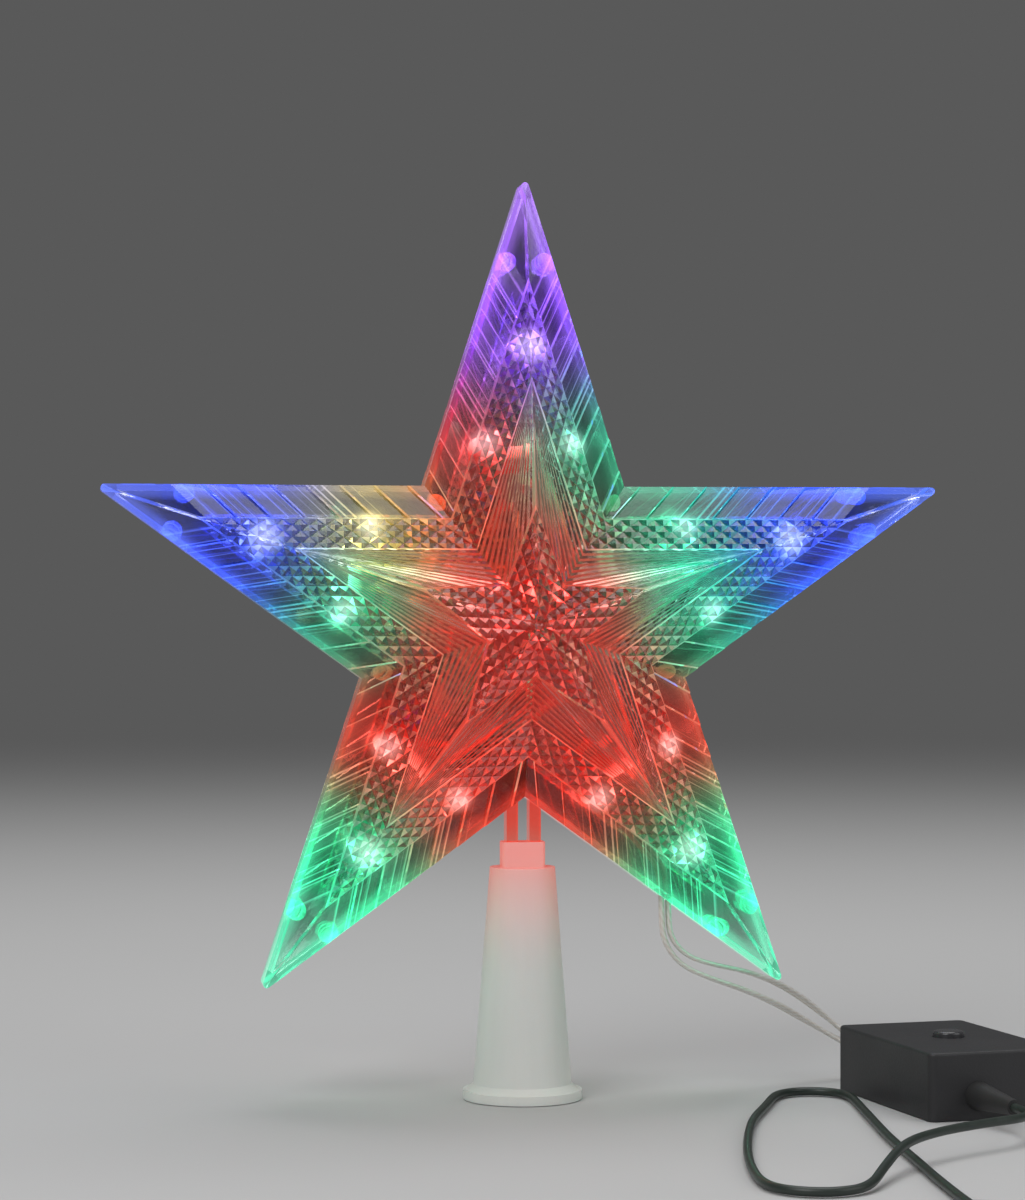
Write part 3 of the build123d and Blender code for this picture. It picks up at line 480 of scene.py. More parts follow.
def lamp_places(context):
    """Every lamp's colour, dome and far end, its light's reach and if it shows as a bare spot, for which
    the shells get a painted hot spot.
    """
    sizes, lamps = context.scene.star_sizes, context.scene.star_lamps
    spots = (
        ("tip", lamps.tip_along, 0.0, lamps.tip_glow),
        ("left", lamps.side_along, -lamps.side_across, lamps.side_glow),
        ("right", lamps.side_along, lamps.side_across, lamps.side_glow),
    )
    found = []
    for arm, name in enumerate(ARM_NAMES):
        for spot, flange, across, reach in spots:
            shade = LAMP_COLOURS[name][spot]
            along = flange + lamps.dome_reach
            dome = arm_place(sizes, arm, along, across)
            end = arm_place(sizes, arm, along + lamps.dome_radius, across)
            found.append(SimpleNamespace(shade=shade, dome=dome, end=end, reach=reach, bare=True))
    for x, z in CENTRE_LAMPS:
        dome = Vector((x * MM, -lamps.hub_front - lamps.dome_reach, sizes.star_height + z * MM))
        end = dome - Vector((0, lamps.dome_radius, 0))
        reach = lamps.centre_glow
        found.append(SimpleNamespace(shade=CENTRE_COLOUR, dome=dome, end=end, reach=reach, bare=False))
    return found


def clear_shell_finish(context):
    """Clear plastic with the lamps' light painted on it: a painted tint near each lamp, painted highlights
    on facets, a painted glowing rim, and painted shade on dull facets.
    """
    finish = Finish("clear_shell")
    lamps = context.scene.star_lamps

    # The lamps' light to be painted at a point: its colour, how much there is, and how near the next bare
    # lamp is, which gets a painted hot spot.
    flattened = finish.place.vector("MULTIPLY", (1.0, lamps.depth_share, 1.0))
    lights, weights, gaps = [], [], []
    for lamp in lamp_places(context):
        x, y, z = lamp.dome
        gap = flattened.distance((x, y * lamps.depth_share, z)) / lamp.reach
        fall = 1.0 / (gap * gap + 1.0)
        near = fall * fall * fall
        tone = tuple(getattr(lamps, lamp.shade))
        lights.append(
            finish.sheet.node("ShaderNodeVectorMath", {"operation": "SCALE"}, {0: tone, "Scale": near})
        )
        weights.append(near)
        if lamp.bare:
            gaps.append(gap)
    weight = reduce(add, weights)
    share = weight.math("MULTIPLY", weight, lamps.tint_gain, clamp=True)
    hue = reduce(Shade.added, lights).scaled(1.0 / (weight + lamps.faint))
    spot = reduce(Shade.least, gaps)

    # What the mesh says of each face, with its painted glint, and fine painted highlight streaks on the
    # feathered ones.
    glint, relief, feather, slant = map(finish.attribute, ("glint", "relief", "feather", "slant"))
    barbs = finish.sheet.node(
        "ShaderNodeTexNoise", {"noise_dimensions": "1D"}, {"W": slant, "Scale": 800.0, "Detail": 2.0}
    )
    painted_streak = ((barbs - 0.52) * 7.0).clamped() * feather
    painted_highlight = glint.most(painted_streak)

    # The rim gets a painted glow, most of all towards the tips.
    depth = finish.sheet.math("ABSOLUTE", finish.place.part("Y"))
    rim = depth.ramp(lamps.rim_unlit, lamps.rim_lit)
    centre = (0.0, 0.0, context.scene.star_sizes.star_height)
    outward = finish.place.vector("MULTIPLY", (1.0, 0.0, 1.0)).distance(centre)
    tip = outward.ramp(lamps.tip_unlit, lamps.tip_lit)

    # Painted highlights: facets sparkle near a lamp, and straight in front of it they get a painted hot
    # spot.
    close = (1.0 - spot * 2.6).clamped()
    sparkle = painted_highlight**4.0 * 0.5 + close * close * relief * 0.7 + 0.01
    hot = spot.ramp(0.25, 0.125) * relief
    glow = sparkle * share.between(0.15, 1.0) + rim * tip.between(0.12, 0.87) * share.between(0.4, 1.0)
    # Painted lamp tint in the base colour, less where the hot spot is painted white.
    deep = share.between(0.1, 0.82) * hot.between(1.0, 0.4)
    painted_lamp_tint = finish.paint(finishes(context).clear, hue, deep)
    flare = finish.paint(hue, WHITE, hot * lamps.core_white)
    # Painted shade: relief facets without a painted highlight are darker in the base colour.
    facet = 1.0 - relief * (1.0 - painted_highlight) * lamps.painted_facet_shade
    grain = finish.place.noise(900.0, detail=3.0)
    return finish.set(
        Base_Color=painted_lamp_tint.scaled(facet),
        Emission_Color=flare.scaled(glow + hot * painted_highlight.between(0.15, 1.05)),
        Emission_Strength=1.0,
        Roughness=grain.between(0.02, 0.08),
        Transmission_Weight=1.0,
        IOR=1.5,
        Normal=finish.bump(grain, 20 * MICRON),
    )


def lamp_finish(context, name):
    """A lit lamp: hot at the end of its dome, its own colour down to the flange."""
    finish = Finish(f"lamp_{name}")
    lamps = context.scene.star_lamps
    own = tuple(getattr(lamps, name))
    ends = [lamp.end for lamp in lamp_places(context) if lamp.shade == name]
    core = reduce(Shade.least, map(finish.place.distance, ends)).ramp(lamps.core_reach, 0.0)
    hot = whiter(own, 0.2)
    return finish.set(
        Base_Color=finish.paint(darker(own, 0.8), hot, core),
        Emission_Color=finish.paint(darker(own, 0.05), hot, core),
        Emission_Strength=10.0,
        Roughness=finish.place.noise(1500.0).between(0.08, 0.16),
        Coat_Weight=0.5,
    )


def white_plastic_finish(context):
    """Moulded white plastic, faintly cloudy."""
    finish = Finish("white_plastic")
    tone = finishes(context).white
    cloud = finish.place.noise(160.0, detail=4.0)
    grain = finish.place.noise(2200.0)
    return finish.set(
        Base_Color=finish.paint(darker(tone, 0.86), tone, cloud),
        Roughness=grain.between(0.4, 0.6),
        Normal=finish.bump(grain, 30 * MICRON),
    )


def cone_finish(context):
    """Satin plastic with a painted red glow, standing for the star's light, down from its collar, and a
    base colour darker where it is painted.
    """
    finish = Finish("cone_plastic")
    lamps = context.scene.star_lamps
    tone = finishes(context).cone
    cloud = finish.place.noise(70.0, detail=3.0)
    grain = finish.place.noise(1800.0, detail=3.0)
    flow = finish.place.vector("MULTIPLY", (1.0, 1.0, 0.04)).noise(420.0)
    # Painted red glow of the star's light on the collar; the base colour is darker where it is painted.
    rise = finish.place.part("Z").ramp(lamps.cone_unlit, lamps.cone_lit)
    lit = rise * rise
    own = finish.paint(darker(tone, 0.9), tone, cloud * 0.6 + flow * 0.4)
    return finish.set(
        Base_Color=own.scaled(lit.between(1.0, 0.6)),
        Emission_Color=finish.paint(UNLIT, darker(lamps.red, 0.5), lit),
        Emission_Strength=1.0,
        Roughness=grain.between(0.3, 0.46),
        Subsurface_Weight=0.25,
        Subsurface_Radius=(0.004, 0.003, 0.0025),
        Subsurface_Scale=1.0,
        Normal=finish.bump(grain + flow, 20 * MICRON),
    )


def black_plastic_finish(context):
    """Spark-eroded texture, a little greyer and smoother where fingers rub it."""
    finish = Finish("black_plastic")
    tone = finishes(context).black
    grain = finish.place.noise(1700.0, detail=4.0, roughness=0.6)
    rubbed = finish.place.noise(45.0, detail=3.0)
    return finish.set(
        Base_Color=finish.paint(tone, paler(tone, 0.012), rubbed),
        Roughness=grain.between(0.5, 0.66) - rubbed * 0.14,
        Normal=finish.bump(grain, 60 * MICRON),
    )


def button_finish(context):
    """Glossy plastic, smeared by fingertips."""
    finish = Finish("button_plastic")
    tone = finishes(context).button
    smear = finish.place.noise(300.0, detail=4.0)
    return finish.set(
        Base_Color=finish.paint(darker(tone, 0.6), tone, smear),
        Roughness=smear.between(0.16, 0.36),
        Coat_Weight=0.3,
        Normal=finish.bump(smear, 10 * MICRON),
    )


def rubber_finish(context):
    """Moulded rubber with a faint pale bloom."""
    finish = Finish("black_rubber")
    tone = finishes(context).rubber
    grain = finish.place.noise(1300.0, detail=3.0)
    bloom = finish.place.noise(90.0, detail=4.0)
    return finish.set(
        Base_Color=finish.paint(tone, paler(tone, 0.014), bloom),
        Roughness=bloom.between(0.5, 0.66),
        Normal=finish.bump(grain, 40 * MICRON),
    )


def cord_finish(context):
    """Dark smooth sheath with faint waves from its making."""
    finish = Finish("cord_rubber")
    tone = finishes(context).cord
    wave = finish.place.noise(260.0, detail=3.0)
    return finish.set(
        Base_Color=finish.paint(tone, paler(tone, 0.016), wave),
        Roughness=wave.between(0.3, 0.48),
        Normal=finish.bump(wave, 80 * MICRON),
    )


def lead_finish(context):
    """Metal strands seen through a clear sheath, twisted along the wire."""
    finish = Finish("clear_wire")
    tones = finishes(context)
    along = finish.sheet.node("ShaderNodeUVMap", {"uv_map": "wire"})
    twist = along.part("X") * 420.0 + along.part("Y") * 3.0
    strand = twist.math("PINGPONG", twist, 0.5) * 2.0
    sheath = strand * 0.4 + finish.place.noise(500.0).between(0.35, 0.65)
    return finish.set(
        Base_Color=finish.paint(tones.strand, tones.sheath, sheath.clamped()),
        Roughness=strand.between(0.1, 0.22),
        Coat_Weight=0.8,
        Coat_Roughness=0.05,
        Normal=finish.bump(strand, 6 * MICRON),
    )


def inner_wire_finish(context):
    """The same wire inside the star, where its strands only mottle it."""
    finish = Finish("inner_wire")
    tones = finishes(context)
    mottle = finish.place.noise(1400.0, detail=3.0)
    return finish.set(
        Base_Color=finish.paint(tones.strand, tones.sheath, mottle.between(0.2, 1.0)),
        Roughness=mottle.between(0.2, 0.4),
        Coat_Weight=0.4,
    )


def metal_finish(name, tone):
    """Plated metal with fine turning marks."""
    finish = Finish(name)
    marks = finish.place.noise(2600.0)
    tarnish = finish.place.noise(240.0, detail=4.0)
    return finish.set(
        Base_Color=finish.paint(darker(tone, 0.8), tone, tarnish),
        Metallic=1.0,
        Roughness=tarnish.between(0.2, 0.36),
        Normal=finish.bump(marks, 10 * MICRON),
    )


def board_finish(context):
    """Bare laminate with copper tracks under its lacquer."""
    finish = Finish("board")
    tones = finishes(context)
    sockets = {"Vector": finish.place, "Scale": 260.0, "Mortar Size": 0.09}
    tracks = finish.sheet.node("ShaderNodeTexBrick", {}, sockets, "Fac")
    weave = finish.place.noise(3000.0)
    return finish.set(
        Base_Color=finish.paint(tones.laminate, tones.copper, tracks * 0.7),
        Roughness=weave.between(0.35, 0.55),
        Normal=finish.bump(tracks + weave * 0.2, 30 * MICRON),
    )


def chip_finish(context):
    """Moulded black casing of chips and switches."""
    finish = Finish("chip_black")
    tone = finishes(context).chip
    grain = finish.place.noise(2400.0, detail=3.0)
    return finish.set(
        Base_Color=finish.paint(darker(tone, 0.55), tone, grain),
        Roughness=grain.between(0.45, 0.65),
        Normal=finish.bump(grain, 20 * MICRON),
    )


def floor_finish(context):
    """A pale floor that goes over into the backdrop's grey far out."""
    finish = Finish("stage_floor")
    stage = context.scene.star_stage
    tone = finishes(context).floor
    cloud = finish.place.noise(3.0)
    material = finish.set(Base_Color=finish.paint(darker(tone, 0.97), tone, cloud), Roughness=0.8)
    far = finish.place.distance((0.0, 0.0, 0.0)).ramp(stage.fade_start, stage.fade_end)
    eased = far * far * (3.0 - far * 2.0)
    grey = opaque((stage.backdrop, stage.backdrop, stage.backdrop))
    glow = finish.sheet.node("ShaderNodeEmission", {}, {"Color": grey, "Strength": 1.0})
    lit = Shade(finish.tree, finish.shader.outputs["BSDF"])
    faded = finish.sheet.node("ShaderNodeMixShader", {}, {0: eased, 1: lit, 2: glow})
    finish.sheet.feed(finish.tree.nodes["Material Output"].inputs["Surface"], faded)
    return material


def dress(node, material):
    """Gives a CAD node its finish."""
    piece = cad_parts[node]
    piece.data.materials.clear()
    piece.data.materials.append(material)


def new_piece(name, data):
    piece = bpy.data.objects.new(name, data)
    bpy.context.scene.collection.objects.link(piece)
    return piece


def evaluated_mesh(piece):
    """The piece's mesh with its modifiers or its curve worked out."""
    graph = bpy.context.evaluated_depsgraph_get()
    graph.update()
    return bpy.data.meshes.new_from_object(piece.evaluated_get(graph))


def cord_curve(name, points, radius=0.0):
    """A smooth curve with these points as its control points, round if it has a radius."""
    curve = bpy.data.curves.new(name, "CURVE")
    curve.dimensions = "3D"
    spline = curve.splines.new("NURBS")
    spline.points.add(len(points) - 1)
    for target, place in zip(spline.points, points):
        target.co = (*place, 1.0)
    spline.order_u = 3
    spline.use_endpoint_u = True
    spline.resolution_u = 8
    curve.bevel_depth = radius
    curve.bevel_resolution = 4
    curve.use_fill_caps = True
    return new_piece(name, curve)


def tube_mesh(name, points, radius, sides=14):
    """A round tube along points, with its length and turn in a UV map."""
    mesh = bpy.data.meshes.new(name)
    shape = bmesh.new()
    uv = shape.loops.layers.uv.new("wire")
    rings, lengths = [], []
    reach = 0.0
    way = (points[1] - points[0]).normalized()
    side = way.orthogonal().normalized()
    for i, place in enumerate(points):
        ahead = (points[min(i + 1, len(points) - 1)] - points[max(i - 1, 0)]).normalized()
        side = (side - ahead * side.dot(ahead)).normalized()
        up = ahead.cross(side)
        ring = []
        for k in range(sides):
            angle = FULL_TURN * k / sides
            ring.append(shape.verts.new(place + (side * math.cos(angle) + up * math.sin(angle)) * radius))
        rings.append(ring)
        reach += (place - points[i - 1]).length if i else 0.0
        lengths.append(reach)
    for i in range(len(rings) - 1):
        for k in range(sides):
            after = (k + 1) % sides
            face = shape.faces.new((rings[i][k], rings[i][after], rings[i + 1][after], rings[i + 1][k]))
            face.smooth = True
            corners = ((i, k), (i, k + 1), (i + 1, k + 1), (i + 1, k))
            for loop, (row, step) in zip(face.loops, corners):
                loop[uv].uv = (lengths[row], step / sides)
    shape.faces.new(rings[0][::-1])
    shape.faces.new(rings[-1])
    bmesh.ops.recalc_face_normals(shape, faces=shape.faces)
    shape.to_mesh(mesh)
    shape.free()
    return mesh


def box_place(along, across, height):
    """A point by the controller box, from its corner."""
    return BOX_CORNER + BOX_ALONG * along + BOX_ACROSS * across + Vector((0, 0, height))


def lead_exit(context):
    """Where the lead wires cross the rim, on the lower edge of the lower right arm."""
    sizes, cords = context.scene.star_sizes, context.scene.star_cords
    notch = Vector((0, 0, sizes.star_height - sizes.notch_radius))
    tip = arm_place(sizes, ARM_NAMES.index("lower_right"), sizes.tip_radius, 0.0)
    return notch + (tip - notch) * cords.exit_share + Vector((0, 0, cords.exit_rise))


def lead_points(context, side, layer):
    """The control points of one lead wire, by which of the four strands it is."""
    cords = context.scene.star_cords
    start = lead_exit(context)
    end = box_place(-cords.lead_gland, cords.lead_across, cords.gland_height)
    points = []
    for share, x, y, z, side_x, side_z, layer_x, layer_y in LEAD_ROUTE:
        spread = Vector((side * side_x + layer * layer_x, layer * layer_y, side * side_z))
        points.append(start.lerp(end, share) + (Vector((x, y, z)) + spread) * MM)
    return points


def coil_place(cords, turn):
    """A point of the coil after so many turns: in and out by layers, climbing at each reversal."""
    layer = int(min(turn // cords.coil_turns, cords.coil_layers - 1))
    inward = turn - layer * cords.coil_turns
    spiral = inward if layer % 2 == 0 else cords.coil_turns - inward
    radius = cords.coil_radius - cords.coil_pitch * spiral
    late = cords.coil_climb / 2
    climbs = [turn - reversal * cords.coil_turns + late for reversal in range(1, cords.coil_layers)]
    layers_up = sum(min(max(climb / cords.coil_climb, 0.0), 1.0) for climb in climbs)
    angle = FULL_TURN * turn
    x = cords.coil_x + radius * math.cos(angle)
    y = cords.coil_y - radius * math.sin(angle)
    return Vector((x, y, cords.coil_base + cords.coil_pitch * layers_up))


def mains_points(context):
    """The whole mains cord: out of its relief, round its loop, through the coil and down to the plug."""
    cords = context.scene.star_cords
    steps_per_turn = 16
    start = box_place(cords.box_length + cords.mains_gland, cords.mains_across, cords.gland_height)
    points = [start, start + BOX_ALONG * cords.mains_straight]
    points += [Vector(place) * MM for place in MAINS_ROUTE]
    points.append(coil_place(cords, 0) + Vector((0, 2 * cords.mains_radius, 0)))
    turn_total = cords.coil_layers * cords.coil_turns + cords.coil_leave
    for step in range(round(turn_total * steps_per_turn) + 1):
        points.append(coil_place(cords, step / steps_per_turn))
    end = points[-1]
    low = Vector((end.x, end.y, cords.plug_height))
    for runs, base in ((TAIL_HIGH, end), (TAIL_LOW, low)):
        points += [base - Vector((run * MM, 0, 0)) for run in runs]
    return points


class STAR_OT_camera(bpy.types.Operator):
    """Sets the camera at the photograph's viewing angle"""

    bl_idname = "star_topper.camera"
    bl_label = "Camera"

    def execute(self, context):
        stage = context.scene.star_stage
        turn = stage.camera_azimuth
        ahead = Vector((-math.sin(turn), math.cos(turn), 0))
        right = Vector((math.cos(turn), math.sin(turn), 0))
        camera = bpy.data.objects.new("camera", bpy.data.cameras.new("camera"))
        context.scene.collection.objects.link(camera)
        camera.data.lens = stage.lens
        camera.data.sensor_width = 36.0
        camera.data.clip_start = 0.01
        camera.data.clip_end = 50.0
        place = -ahead * stage.camera_distance - right * stage.camera_offset
        camera.location = place + Vector((0, 0, stage.camera_height))
        camera.rotation_euler = ahead.to_track_quat("-Z", "Y").to_euler()
        context.scene.camera = camera
        return {"FINISHED"}


class STAR_OT_mains_cord(bpy.types.Operator):
    """Lays the mains cord, its loop, its coil and its tail as one curve"""

    bl_idname = "star_topper.mains_cord"
    bl_label = "Mains cord"

    def execute(self, context):
        cords = context.scene.star_cords
        points = mains_points(context)
        piece = cord_curve("mains_lead", points, cords.mains_radius)
        piece.data.materials.append(cord_finish(context))
        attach(piece, "base")
        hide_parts("mains_cord", "mains_coil", "plug_tail")
        return {"FINISHED"}


class STAR_OT_lead_wires(bpy.types.Operator):
    """Runs the four lead wires from the star to the controller"""

    bl_idname = "star_topper.lead_wires"
    bl_label = "Lead wires"

    def execute(self, context):
        cords = context.scene.star_cords
        material = lead_finish(context)
        for number, (side, layer) in enumerate(STRANDS, start=1):
            line = cord_curve(f"lead_line_{number}", lead_points(context, side, layer))
            route = evaluated_mesh(line)
            points = [vertex.co.copy() for vertex in route.vertices]
            bpy.data.objects.remove(line)
            piece = new_piece(f"lead_{number}", tube_mesh(f"lead_{number}", points, cords.lead_radius))
            piece.data.materials.append(material)
            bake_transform(piece)
            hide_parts(f"lead_wire_{number}")
        return {"FINISHED"}


def clip(start, end, outline):
    """The part of a line inside a convex outline that runs anticlockwise, or None."""
    low, high = 0.0, 1.0
    way = end - start
    for corner, following in zip(outline, outline[1:] + outline[:1]):
        side = following - corner
        inward = Vector((-side.y, side.x)).normalized()
        speed = inward.dot(way)
        depth = inward.dot(start - corner)
        if abs(speed) < PARALLEL:
            if depth < 0:
                return None
        elif speed > 0:
            low = max(low, -depth / speed)
        else:
            high = min(high, -depth / speed)
    if (high - low) * way.length < SEAM:
        return None
    return start + way * low, start + way * high


def zigzag(value):
    """0 at even numbers and 1 at odd ones, with straight runs between."""
    return abs((value + 1) % 2 - 1)


class Knurl:
    """Rows of small pyramids along a line: where their creases run and how high a point of them is."""

    # Painted brightness of a pyramid's four facets by the way each faces: painted highlight and shade.
    tones = (0.3, 0.05, 0.75, 0.12)

    def __init__(self, sizes, origin, along):
        self.origin = origin
        self.along = along * (sizes.knurl_length / 2)
        self.across = Vector((-along.y, along.x)) * (sizes.knurl_width / 2)

    def place(self, a, b):
        return self.origin + self.along * a + self.across * b

    def steps(self, point):
        """A point in half diagonals of a pyramid, along the row and across it."""
        gap = point - self.origin
        return tuple(gap.dot(side) / side.length_squared for side in (self.along, self.across))

    def peak(self, point):
        """1 at a pyramid's peak and 0 in the grooves."""
        a, b = self.steps(point)
        return abs(1.0 - zigzag(a) - zigzag(b))

    def tone(self, point):
        """How bright a pyramid's facet is painted, by the way it faces: one painted highlight, one dim and
        two in painted shade.
        """
        a, b = ((step + 1) % 2 - 1 for step in self.steps(point))
        if abs(a) + abs(b) > 1:
            a, b = a - math.copysign(1, a), b - math.copysign(1, b)
        return self.tones[(a > 0) * 2 + (b > 0)]

    def creases(self, outline):
        """The lines between facets, past the outline on every side."""
        along, across = zip(*(self.steps(corner) for corner in outline))
        low_a, high_a = math.floor(min(along)), math.ceil(max(along))
        low_b, high_b = math.floor(min(across)), math.ceil(max(across))
        span = high_b - low_b
        lines = [((a, low_b), (a, high_b)) for a in range(low_a, high_a + 1)]
        lines += [((low_a, b), (high_a, b)) for b in range(low_b, high_b + 1)]
        for a in range(low_a - span, high_a + span + 1):
            if (a + low_b) % 2:
                lines.append(((a, low_b), (a + span, high_b)))
                lines.append(((a, low_b), (a - span, high_b)))
        return [(self.place(*first), self.place(*last)) for first, last in lines]


class HalfArm:
    """Half an upright arm, flat from the star's centre: s along its edge, t the distance out to it."""

    def __init__(self, sizes):
        self.sizes = sizes
        tip = Vector((0.0, sizes.tip_radius))
        notch = NOTCH_WAY * sizes.notch_radius
        self.along = (tip - notch).normalized()
        self.out = Vector((self.along.y, -self.along.x))
        self.edge = notch.dot(self.out)
        self.tip_lean = tip.dot(self.along) / self.edge
        self.notch_lean = notch.dot(self.along) / self.edge
        self.wall_depth = sizes.wall * math.sqrt(1 + (sizes.apex_rise / self.edge) ** 2)

    def plain_level(self, t):
        """Depth of the plain pyramid's face."""
        return self.sizes.rim_depth + self.sizes.apex_rise * (1 - t / self.edge)

    def inside_level(self, place):
        """Depth of the shell's plain inside over a point (x, z) of the arm."""
        turned = Vector((abs(place.x), place.y))
        return self.plain_level(turned.dot(self.out)) - self.wall_depth

    def row(self, t):
        """Where a line along the edge starts at the notch's line and ends on the arm's axis."""
        return Vector((self.notch_lean * t, t)), Vector((self.tip_lean * t, t))


class Relief(HalfArm):
    """What is moulded on half an arm: grooved bevel, knurled band, fluted recess and centre star."""

    tip_steps = 4
    # Painted brightness of each kind of face, standing for the lamps' light it catches, and how feathered
    # the bevel is, which weights its painted streaks.
    edge_painted_light = 0.9
    tip_painted_light = 0.35
    groove_painted_lights = (0.3, 0.6)
    groove_turn = 0.382
    flute_painted_lights = (0.82, 0.4)
    knurl_chance = 0.25
    first_feather = 0.3
    feather_step = 0.25

    def __init__(self, sizes):
        super().__init__(sizes)
        axis = Vector((self.tip_lean, 1.0)).normalized()
        self.centre_tip = axis * sizes.centre_radius
        self.centre_notch = Vector((self.notch_lean, 1.0)).normalized() * sizes.centre_notch_radius
        centre_along = (self.centre_tip - self.centre_notch).normalized()
        self.centre_out = Vector((-centre_along.y, centre_along.x))
        self.centre_edge = self.centre_notch.dot(self.centre_out)
        self.draw_fields(axis)
        self.band_knurl = Knurl(sizes, self.band[3] - Vector((0, sizes.knurl_width / 2)), Vector((1, 0)))
        self.centre_knurl = Knurl(sizes, Vector((0, 0)), centre_along)
        band_notch, band_tip = self.bevel[:2]
        band_length = (band_tip - band_notch).length
        self.pitch = band_length * sizes.groove_pitch
        first = band_notch.x - band_notch.y + band_length * sizes.groove_first
        self.grooves = [first + self.pitch * i for i in range(sizes.groove_count)]
        self.fan_tip, recess_notch = self.recess[2:]
        self.fans = (
            (recess_notch, self.centre_notch, sizes.notch_flutes),
            (self.centre_notch, self.centre_tip, sizes.centre_flutes),
        )
        self.ray_ends = [
            start.lerp(end, i / (2 * count)) for start, end, count in self.fans for i in range(2 * count)
        ]
        self.ray_turns = sorted(self.fan_turn(end) for end in self.ray_ends)

    def draw_fields(self, axis):
        """The fields from the bevel to the centre star, and the whole, as anticlockwise outlines."""
        sizes = self.sizes
        step = sizes.step_width
        band = self.edge * sizes.band_radius / sizes.tip_radius
        recess = self.edge * sizes.recess_radius / sizes.tip_radius
        tip_centre = axis * (sizes.tip_radius - sizes.tip_round * sizes.tip_radius / self.edge)
        arc_end = math.atan2(axis.x, axis.y)
        arc = []
        for i in range(self.tip_steps, -1, -1):
            turn = arc_end * i / self.tip_steps
            arc.append(tip_centre + Vector((math.sin(turn), math.cos(turn))) * sizes.tip_round)
        notch, _ = self.row(self.edge)
        shrink = 1 - step / self.centre_edge
        self.bevel = [*self.row(band), *arc, notch]
        self.band = [*self.row(recess + step), *reversed(self.row(band - step))]
        self.recess = [self.centre_notch, self.centre_tip, *reversed(self.row(recess))]
        self.centre = [Vector((0, 0)), self.centre_tip * shrink, self.centre_notch * shrink]
        self.outline = [Vector((0, 0)), *arc, notch]
        self.band_split = band - step / 2
        self.recess_split = recess + step / 2

    def fan_turn(self, point):
        """Which way a point lies from the tip that the flutes fan out from."""
        return math.atan2(self.fan_tip.y - point.y, self.fan_tip.x - point.x)

    def middle(self, point):
        """0 at the centre and 1 on the centre star's edge."""
        return self.centre_out.dot(point) / self.centre_edge

    def creases(self):
        """Every crease of the relief: the fields' outlines and the lines inside them."""
        slants = [groove + shift for groove in self.grooves for shift in (0.0, self.sizes.groove_step)]
        slants.append(self.grooves[-1] + self.pitch)
        span = 2 * self.edge
        fields = (
            (self.bevel, [(Vector((q, 0)), Vector((q + span, span))) for q in slants]),
            (self.band, self.band_knurl.creases(self.band)),
            (self.recess, [(self.fan_tip, end) for end in self.ray_ends[1:]]),
            (self.centre, self.centre_knurl.creases(self.centre)),
            (self.outline, []),
        )
        lines = []
        for outline, candidates in fields:
            lines += zip(outline, outline[1:] + outline[:1])
            lines += filter(None, (clip(*line, outline) for line in candidates))
        return lines

    def saw(self, q):
        """The bevel's cut: each facet rises from a groove to the next one's edge."""
        deep, step = self.sizes.groove_depth, self.sizes.groove_step
        for groove in reversed(self.grooves):
            if q > groove + ON_GROOVE:
                if q < groove + step:
                    return -deep * (q - groove) / step
                run = (q - groove - step) / (self.pitch - step)
                return -deep * max(1.0 - run, 0.0)
        return -deep * max(self.grooves[0] - q, 0.0) / self.pitch

    def flute(self, point):
        """The recess's cut: none on the ridges and the full depth in the valleys at their far ends."""
        for start, end, count in self.fans:
            way = (end - start).normalized()
            gap = point - start
            if abs(way.cross(gap)) < ON_LINE:
                return -self.sizes.flute_depth * zigzag(gap.dot(way) / (end - start).length * 2 * count)
        return 0.0

    def level(self, point):
        """Depth of the relief's face at a point (s, t)."""
        sizes = self.sizes
        plain = self.plain_level(point.y)
        if point.y > self.band_split:
            return plain + self.saw(point.x - point.y)
        if point.y > self.recess_split:
            return plain + sizes.band_raise - sizes.knurl_depth * (1 - self.band_knurl.peak(point))
        middle = self.middle(point)
        if middle > 1 - sizes.step_width / self.centre_edge / 2:
            return plain + self.flute(point)
        top = sizes.rim_depth + sizes.apex_rise + sizes.centre_raise
        low = self.plain_level(self.edge * sizes.centre_radius / sizes.tip_radius) + sizes.centre_raise
        return top - (top - low) * middle - sizes.knurl_depth * (1 - self.centre_knurl.peak(point))

    def look(self, point):
        """How bright a face there is painted, standing for the light it catches: its painted tone, the
        chance in it and how feathered it is.
        """
        middle = self.middle(point)
        if point.y > self.bevel[0].y:
            return self.bevel_look(point.x - point.y)
        if self.band[0].y < point.y < self.band[2].y:
            return self.band_knurl.tone(point), self.knurl_chance, 0.0
        if middle < 1 - self.sizes.step_width / self.centre_edge:
            return self.centre_knurl.tone(point), self.knurl_chance, 0.0
        if point.y < self.recess[2].y and middle > 1.0:
            return self.flute_painted_lights[bisect(self.ray_turns, self.fan_turn(point)) % 2], 0.0, 0.0
        return self.edge_painted_light, 0.0, 0.0

    def bevel_look(self, q):
        """A bevel face's painted brightness: plain at the tip, a painted highlight on a groove's steep
        side, feathered between.
        """
        if q > self.grooves[-1] + self.pitch:
            return self.tip_painted_light, 0.0, 0.0
        passed = [q - groove for groove in self.grooves if q > groove]
        feather = min(1.0, self.first_feather + self.feather_step * len(passed))
        if passed and passed[-1] < self.sizes.groove_step:
            return self.edge_painted_light, 0.0, feather
        low, high = self.groove_painted_lights
        return low + (high - low) * (len(passed) * self.groove_turn % 1.0), 0.0, feather

    def sheet(self):
        """The relief as one triangulated sheet: points (s, t, level), faces and the look of each face."""
        lines = self.creases()
        corners = [point * PER_MM for line in lines for point in line]
        edges = [(2 * i, 2 * i + 1) for i in range(len(lines))]
        flat, _, faces, *_ = delaunay_2d_cdt(corners, edges, [], TRIANGLES_INSIDE, MERGE_MM)
        places = [Vector(point) * MM for point in flat]
        middles = (sum((places[i] for i in face), Vector((0, 0))) / len(face) for face in faces)
        looks = [self.look(middle) for middle in middles]
        return [(place.x, place.y, self.level(place)) for place in places], faces, looks


